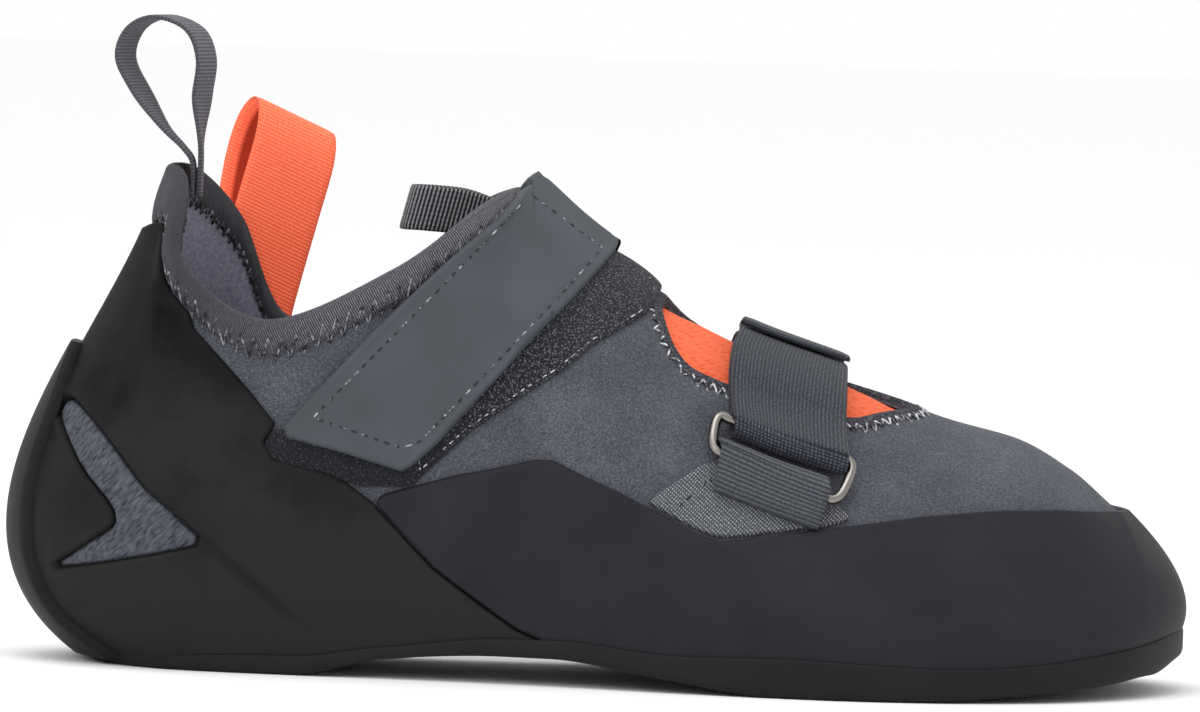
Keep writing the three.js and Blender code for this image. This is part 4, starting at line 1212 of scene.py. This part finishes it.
strap = panel(
    "closure_strap_cloth", strap_field, gap, under_strap + strap_thickness, strap_round,
    strap_cloth, floor=False, detail=strap_form,
    rows=(2, all_rows - 3), shares=(0.2, 1), per_row=26, columns=90,
)
wear(strap, "strap", "closure_strap")
dark_thread = sewing_thread(
    "polyester_thread_dark", 0.3, (0.5, "#1E1F23"), (0.57, "#77777D"), (0.64, "#B0B0B4")
)
# The seam runs down the rear edge, round the free end and up again, and along the top fold
rear_top = (63.4, 105.4)
strap_seam = [rear_top, (18.4, 56.4), (37.4, 50.6), (41.2, 51.6), (79.6, 94), rear_top]
running_stitch("closure_strap_seam", strap, np.array(strap_seam), 2.5, 1.7, dark_thread)
medial_seam = drawn_in(strap_medial, seam_inset)
medial_seam = medial_seam[medial_seam[:, 1] < 0.86 * instep_height]
running_stitch("closure_strap_medial_seam", strap, medial_seam, 2.5, 1.7, dark_thread, side=1)

# Ring anchor and forefoot strap. Flat woven webbing: the anchor is sewn to the upper and folds
# round the ring's lower bar, and the strap crosses the tongue and folds back round the upper bar.

webbing = 1.1
selvedge_round = 0.5
ring_wire = 2.3
upper_bar = {"s": (apex_row + 1.77, apex_row + 2.97), "w": (-0.42, -0.43)}
lower_bar = {"s": (apex_row + 1.66, apex_row + 2.82), "w": (-0.503, -0.54)}
webbing_gap = 2 * gap
bar_lift = webbing_gap + webbing + webbing_gap + ring_wire / 2
fold_radius = ring_wire / 2 + webbing_gap + webbing / 2
first_lift = webbing_gap + webbing / 2
second_lift = first_lift + webbing + webbing_gap
third_lift = second_lift + webbing + webbing_gap


def over_foot(s, w, distance):
    """Points over the ridge: w runs from -1 laterally to 0 on the ridge and 1 medially."""
    s, w = np.broadcast_arrays(np.asarray(s, float), np.asarray(w, float))
    return on_last(np.where(w < 0, s, all_rows - s), 1 - np.abs(w), distance)


def between(ends, f):
    return ends[0] + (ends[1] - ends[0]) * f


def folded_path(s, bar, run):
    """Middle line of webbing that comes in, folds round a bar and lies back on itself."""
    w = between(bar["w"], (s - bar["s"][0]) / (bar["s"][1] - bar["s"][0]))
    step = 0.01
    ends = over_foot(np.array([s, s]), np.array([w + step, w - step]), 0)
    scale = np.linalg.norm(ends[0] - ends[1]) / (2 * step)
    angle = np.linspace(-np.pi / 2, np.pi / 2, 13)
    fold_w = w + run["fold_reach"] * fold_radius * np.cos(angle) / scale
    fold = np.stack([fold_w, bar_lift + fold_radius * np.sin(angle)], 1)
    w_all, lift = np.vstack([run["before"], fold, run["after"]]).T
    away = np.minimum(np.abs(w_all - w), 0.4)
    away[len(run["before"]) : -len(run["after"])] = 0
    return over_foot(s + run["slide"] * away, w_all, lift)


def finer(points, steps):
    """Smooth open curve through points, or rows of points, with steps between each two."""
    last = len(points) - 1
    s = np.linspace(0, last, last * steps + 1)
    flat = points.reshape(len(points), -1)
    return through(lambda k: flat[np.clip(k, 0, last)], s).reshape(len(s), *points.shape[1:])


def ribbon(name, middle, thickness, material):
    """Closed ribbon round a grid of middle points, with rounded sides and UVs in mm."""
    normal = unit(np.cross(np.gradient(middle, axis=0), np.gradient(middle, axis=1)))
    run, wide = run_of(middle[:, 0]), run_of(middle[0])
    columns = middle.shape[1]
    side = np.minimum(wide, wide[-1] - wide)
    half = thickness / 2 * rounded(side + 0.12, selvedge_round)[None, :, None]
    ring = np.concatenate([middle + normal * half, (middle - normal * half)[:, ::-1]], 1)
    uv = crossed(run, np.concatenate([wide, 2 * wide[-1] - wide[::-1]]))
    faces = grid_faces(len(middle), 2 * columns, False, True).tolist()
    for start in (0, (len(middle) - 1) * 2 * columns):
        for j in range(columns - 1):
            a, b = start + j, start + 2 * columns - 1 - j
            faces.append([a, a + 1, b - 1, b])
    return make(name, ring.reshape(-1, 3), faces, material, uv, merge=0.001)


def woven(name, colour, pale, pitch, rib_tone=0.2, bump=0.8, turn=0.0, far=None):
    """Woven tape with rows of yarn at a pitch in mm; rib_tone is how much paler their tops are."""
    material, add = finish(name, colour, 0.75, Sheen_Weight=0.1, Specular_IOR_Level=0.25)
    uv = add("UVMap", uv_map="weave")
    turned = add("Mapping", {"Vector": uv, "Rotation": (0, 0, turn)})
    scale = 0.314 / pitch  # bands of a wave texture come 20 / 2 pi to a unit of scale
    slack = {"Vector": turned, "Distortion": 0.5, "Detail": 1, "Detail Scale": 1.5}
    ribs = add("TexWave", {"Scale": scale, **slack}, "Fac", bands_direction="X")
    picks = add("TexWave", {"Scale": scale * 0.8, **slack}, "Fac", bands_direction="Y")
    fleck = add("TexNoise", {"Vector": uv, "Scale": 1.9, "Detail": 4, "Roughness": 0.75})
    tops = add("Math", {0: ribs, 1: picks}, operation="MULTIPLY") if turn else ribs
    lit = add("Math", {0: tops, 1: rib_tone}, operation="MULTIPLY")
    tone = add("Math", {0: fleck, 1: lit}, operation="ADD")
    whole = 1 + rib_tone
    tone = add("Math", {0: tone, 1: whole}, operation="DIVIDE")
    lowest, highest = (0.42 + 0.35 * rib_tone) / whole, (0.68 + 0.95 * rib_tone) / whole
    stops = (lowest, colour), (highest, pale)
    shade = add("ValToRGB", {"Fac": tone}, to="Base Color", stops=stops)
    if far:
        # The far leg's face lies in the loop's own shade, but for the edge that looks out
        width = add("SeparateXYZ", {0: uv}, "Y")
        begins = add("MapRange", {"Value": width, 1: 2.4, 2: 3.4})
        ends = add("MapRange", {"Value": width, 1: 18.4, 2: 18.8, 3: 1.0, 4: 0.0})
        mask = add("Math", {0: begins, 1: ends}, operation="MULTIPLY")
        legs = {0: mask, 6: shade, 7: linear(far)}
        add("Mix", legs, 2, to="Base Color", data_type="RGBA")
    fine = add("Math", {0: picks, 1: 0.35}, operation="MULTIPLY")
    height = add("Math", {0: ribs, 1: fine}, operation="ADD")
    add("Bump", {"Height": height, "Strength": bump, "Distance": 0.3 * MM}, to="Normal")
    return material


# Polyester yarns with a dull lustre: the strap's ribs run along it, the anchor's across, and the
# patch under them is a plain weave set at an angle, its yarns drawn twice their size to show
slate_webbing = woven("woven_webbing_slate", "#191B22", "#686C7A", 0.6, 0.35, 0.35, 0.02)
anchor_webbing = woven("woven_webbing_ribbed", "#2B2D32", "#63666D", 1.0, 0.3)
fine_weave = woven("woven_patch", "#3C3E44", "#BCBFC5", 0.55, 0.4, 0.6, 0.7)


def folded_webbing(name, places, bar, run_at, material):
    """Webbing between two rows, on the path that run_at gives at each share of its width."""
    sides = [folded_path(between(places, f), bar, run_at(f)) for f in np.linspace(0, 1, 15)]
    return ribbon(name, finer(np.stack(sides, 1), 3), webbing, material)


def strap_run(f):
    """The strap's way over the tongue, and back to its end, which is turned under."""
    under = [(w, first_lift) for w in (0.46, 0.36, 0.26, 0.16, 0.06, -0.03, -0.12, -0.21, -0.3)]
    over = [(w, second_lift) for w in (-0.33, -0.24, -0.15, -0.06, 0.035)]
    turned_end = [(0.052, (second_lift + third_lift) / 2)]
    turned_end += [(w, third_lift) for w in (0.03, -0.01, -0.055)]
    return {
        "before": under, "after": over + turned_end,
        "fold_reach": -1.35, "slide": 0.45 - 0.2 * f,
    }


def anchor_run(f):
    sewn_at = -0.59 - 0.022 * f
    return {
        "before": [(sewn_at, first_lift)], "after": [(sewn_at, second_lift)],
        "fold_reach": 1.25 + 0.7 * f, "slide": -1.4,
    }


strap_places = (apex_row + 1.9, apex_row + 2.9)
forefoot = folded_webbing(
    "forefoot_strap_webbing", strap_places, upper_bar, strap_run, slate_webbing
)
wear(forefoot, "webbing", "forefoot_strap")
# Two rows of stitches hold its end on the medial side
held_s = np.linspace(strap_places[0] + 0.3, strap_places[1] + 0.1, 12)
for row, w in enumerate((0.44, 0.4)):
    held = over_foot(held_s, w, 0)[:, [0, 2]]
    seam = f"forefoot_strap_seam_{row}"
    running_stitch(seam, forefoot, held, 2.2, 1.5, dark_thread, side=1)

anchor_shares = [
    (0.534, 0.372), (0.545, 0.361), (0.577, 0.322), (0.597, 0.307), (0.633, 0.317),
    (0.7, 0.341), (0.705, 0.36), (0.65, 0.425), (0.593, 0.468),
]
anchor_edge = eased(outline(anchor_shares, heel_height))
anchor = panel(
    "ring_anchor_patch", anchor_edge, 0, gap + webbing, selvedge_round, fine_weave,
    floor=False, rows=(6, 11), shares=(0.15, 0.8), per_row=30, columns=60,
)
wear(anchor, "webbing", "ring_anchor")
anchor_seam = np.array([(97.9, 40), (104.4, 46.1), (109.1, 45.2), (116.4, 42.6), (126, 37.2)])
running_stitch("ring_anchor_seam", anchor, anchor_seam, 2.2, 1.5, dark_thread)
anchor_places = (apex_row + 1.74, apex_row + 2.74)
fold = folded_webbing("ring_anchor_fold", anchor_places, lower_bar, anchor_run, anchor_webbing)
wear(fold, "webbing")

# Ring. Steel wire bent to a long loop and nickel plated, so it mirrors the room in a thin line.
# Handling has hazed the plating here and there.

plated, add = finish("plated_wire", "#85817C", 0.22, Metallic=1.0)
place = add("TexCoord", out="Object")
haze = add("TexNoise", {"Vector": place, "Scale": 0.5 / MM, "Detail": 3})
add("MapRange", {"Value": haze, 1: 0.3, 2: 0.7, 3: 0.16, 4: 0.34}, to="Roughness")


def tube(name, path, radius, material, sides=12):
    """Tube round a closed path."""
    along = unit(np.roll(path, -1, 0) - np.roll(path, 1, 0))
    axis = np.linalg.svd(path - path.mean(0))[2][2]
    out = unit(np.cross(along, axis))
    ring = path[:, None] + radius * hoops(out, np.cross(out, along), sides)
    return make(name, ring.reshape(-1, 3), grid_faces(len(path), sides, True, True), material)


def bar_points(bar, shares):
    return over_foot(between(bar["s"], shares), between(bar["w"], shares), bar_lift)


bar_shares = np.array([0.04, 0.12, 0.31, 0.5, 0.69, 0.88, 0.96])
corner = np.array([[0.22], [0.78]])
upper_ends, lower_ends = (bar_points(bar, np.array([0, 1])) for bar in (upper_bar, lower_bar))
front = between((upper_ends[1], lower_ends[1]), corner)
rear = between((lower_ends[0], upper_ends[0]), corner)
over, back = bar_points(upper_bar, bar_shares), bar_points(lower_bar, 1 - bar_shares)
ring_path = closed_curve(np.vstack([over, front, back, rear]), 8)
ring = tube("strap_ring_wire", ring_path, ring_wire / 2, plated)
wear(ring, "ring_metal", "strap_ring")

# Pull loops. Woven tapes caught in the collar's seam: grey at the heel, orange at the medial side
# and black ribbed at the tongue.

tape = 1


def tape_loop(name, path, width, direction_at, material):
    """Tape along a path; direction_at gives the way across it at each point."""
    curve = finer(np.asarray(path, float), 5)
    across = np.stack([direction_at(p) for p in curve])
    f = np.linspace(-0.5, 0.5, 13)
    return ribbon(name, curve[:, None] + across[:, None] * width * f[None, :, None], tape, material)


heel_loop_x, heel_loop_z = x_at(0.143), heel_height
heel_loop_size, heel_loop_width = (18, 32), 10
heel_loop_shares = [
    (0.04, -0.23), (0.04, 0), (-0.083, 0.11), (-0.33, 0.25), (-0.64, 0.5), (-0.83, 0.72),
    (-0.71, 0.92), (-0.39, 1), (0, 0.92), (0.155, 0.72), (0.12, 0.47), (0.12, 0.22),
    (0.13, 0.03), (0.13, -0.225),
]
heel_loop_path = [
    (heel_loop_x + a * heel_loop_size[0], 0, heel_loop_z + u * heel_loop_size[1])
    for a, u in heel_loop_shares
]


def turned_to_camera(p):
    """The loop turns a little outwards as it rises."""
    angle = 0.38 * float(smooth((p[2] - heel_loop_z) / heel_loop_size[1], 0.1, 0.5))
    return np.array([math.sin(angle), math.cos(angle), 0])


# Grosgrain of dull yarn, with ribs 0.8 mm apart across the tape
grey_tape = woven("woven_tape_grey", "#46474E", "#75757D", 0.8, 0.3)
heel_loop = tape_loop(
    "heel_pull_loop_tape", heel_loop_path, heel_loop_width, turned_to_camera, grey_tape
)
wear(heel_loop, "grey_tape", "heel_pull_loop")

# Shares of the height at which the tape ends, is tacked down and leaves the shoe
end_share, tack_share, seam_share = 0.79, 0.815, 0.86
side_row = all_rows - 2.35
side_up = unit(np.array([0.24, 0, 0.97]))
side_back = unit(np.array([-0.6, 0.8, 0]))
side_lift = knit + 3 * gap + tape / 2
side_loop_size, side_loop_width = (9.5, 42), 19
side_loop_shares = [
    (0.03, 0.25), (0.02, 0.55), (0.02, 0.83), (0.25, 0.98), (0.6, 1), (0.92, 0.9),
    (0.98, 0.7), (0.75, 0.42), (0.4, 0.18),
]


def seat(t, layer):
    """Middle of the tape where it lies on the upper, as the first or second layer."""
    return on_last(side_row, t, side_lift + layer * (tape + gap))[0]


side_path = [seat(end_share, 0), seat(seam_share, 0)]
for back, up in side_loop_shares:
    out_by, up_by = side_back * back * side_loop_size[0], side_up * up * side_loop_size[1]
    side_path.append(seat(seam_share, 0) + out_by + up_by)
side_path += [seat(seam_share, 1), seat(end_share, 1)]
away = last_normal(np.array([side_row]), np.array([seam_share]))[0]
side_flat = np.array([0.9, 0, -0.42])
side_flat = unit(side_flat - away * (side_flat @ away))
orange_tape = woven("woven_tape_orange", "#F4633F", "#FF9470", 0.8, 0.2, 0.35, 0, "#7A1408")
# A faint orange emission: a painted glow that brightens the tape where it lies in shade
painted_glow = orange_tape.node_tree.nodes["Principled BSDF"].inputs
painted_glow["Emission Color"].default_value = linear("#FF5530")
painted_glow["Emission Strength"].default_value = 0.2
side_loop = tape_loop(
    "side_pull_loop_tape", side_path, side_loop_width, lambda p: side_flat, orange_tape
)
wear(side_loop, "orange_tape", "side_pull_loop")
tack = seat(tack_share, 1) + side_flat * np.linspace(-8, 8, 9)[:, None]
running_stitch("side_pull_loop_tack", side_loop, tack[:, [0, 2]], 1.6, 1.2, grey_thread, side=1)

tongue_loop_width = 10
tongue_loop_rows = [
    (0.4158, 0.012, 0.9155), (0.395, 0.03, 0.932), (0.372, 0.05, 0.949),
    (0.348, 0.058, 0.954), (0.332, 0.04, 0.955), (0.3265, 0, 0.955),
]
legs = [
    [(x_at(a), (0.02 + side * c) * ball_width, u * instep_height) for a, c, u in tongue_loop_rows]
    for side in (-1, 1)
]
there_and_back = legs[0] + legs[1][:-1][::-1]
# Coarser ribs, whose tops shine against black gaps
black_tape = woven("ribbed_webbing_black", "#0C0C0E", "#929297", 0.9, 1.0)
tongue_loop = tape_loop(
    "tongue_pull_loop_webbing", there_and_back, tongue_loop_width, lambda p: side_up, black_tape
)
wear(tongue_loop, "black_tape", "tongue_pull_loop")

# Studio. A pale paper floor, a wide soft light above and in front, and the camera square to the
# lateral side, 3 degrees above the floor and rolled by 2.

# Matt paper that gives the light back evenly
paper, add = finish("studio_paper", "#FCFCFC", 0.9)
half = 6 / MM
corners = [(-half, -half, 0), (half, -half, 0), (half, half, 0), (-half, half, 0)]
make("floor", corners, [(0, 1, 2, 3)], paper)

world = bpy.data.worlds.new("studio")
world.use_nodes = True
world.node_tree.nodes["Background"].inputs["Color"].default_value = (1, 1, 1, 1)
world.node_tree.nodes["Background"].inputs["Strength"].default_value = 1.0
bpy.context.scene.world = world


def facing(direction):
    return direction.to_track_quat("-Z", "Y")


def soft_light(name, at, size, power, aim=(0.08, 0, 0.05)):
    light = bpy.data.lights.new(name, "AREA")
    light.shape = "RECTANGLE"
    light.size, light.size_y = size
    light.energy = power
    lamp = shown(name, light)
    lamp.location = at
    lamp.rotation_euler = facing(Vector(aim) - Vector(at)).to_euler()


soft_light("top_softbox", (-0.1, -0.3, 1.3), (1.0, 0.8), 7)
soft_light("front_softbox", (-0.7, -1.4, 0.9), (0.8, 0.6), 4)

photo_width, pixels_per_mm = 1200, 4.56
roll, elevation = math.radians(2), math.radians(3)
lens, sensor = 300, 36
distance = photo_width / pixels_per_mm * MM * lens / sensor
aim = Vector((0.07985, 0, 0.07))
back = Vector((0, -math.cos(elevation), math.sin(elevation)))
camera = bpy.data.cameras.new("camera")
camera.lens, camera.sensor_width = lens, sensor
camera.clip_start, camera.clip_end = 0.05, 50
viewer = shown("camera", camera)
viewer.location = aim + back * distance
turn = facing(-back).to_matrix().to_4x4()
viewer.rotation_euler = (turn @ Matrix.Rotation(roll, 4, "Z")).to_euler()
bpy.context.scene.camera = viewer
bpy.context.scene.view_settings.view_transform = "Standard"
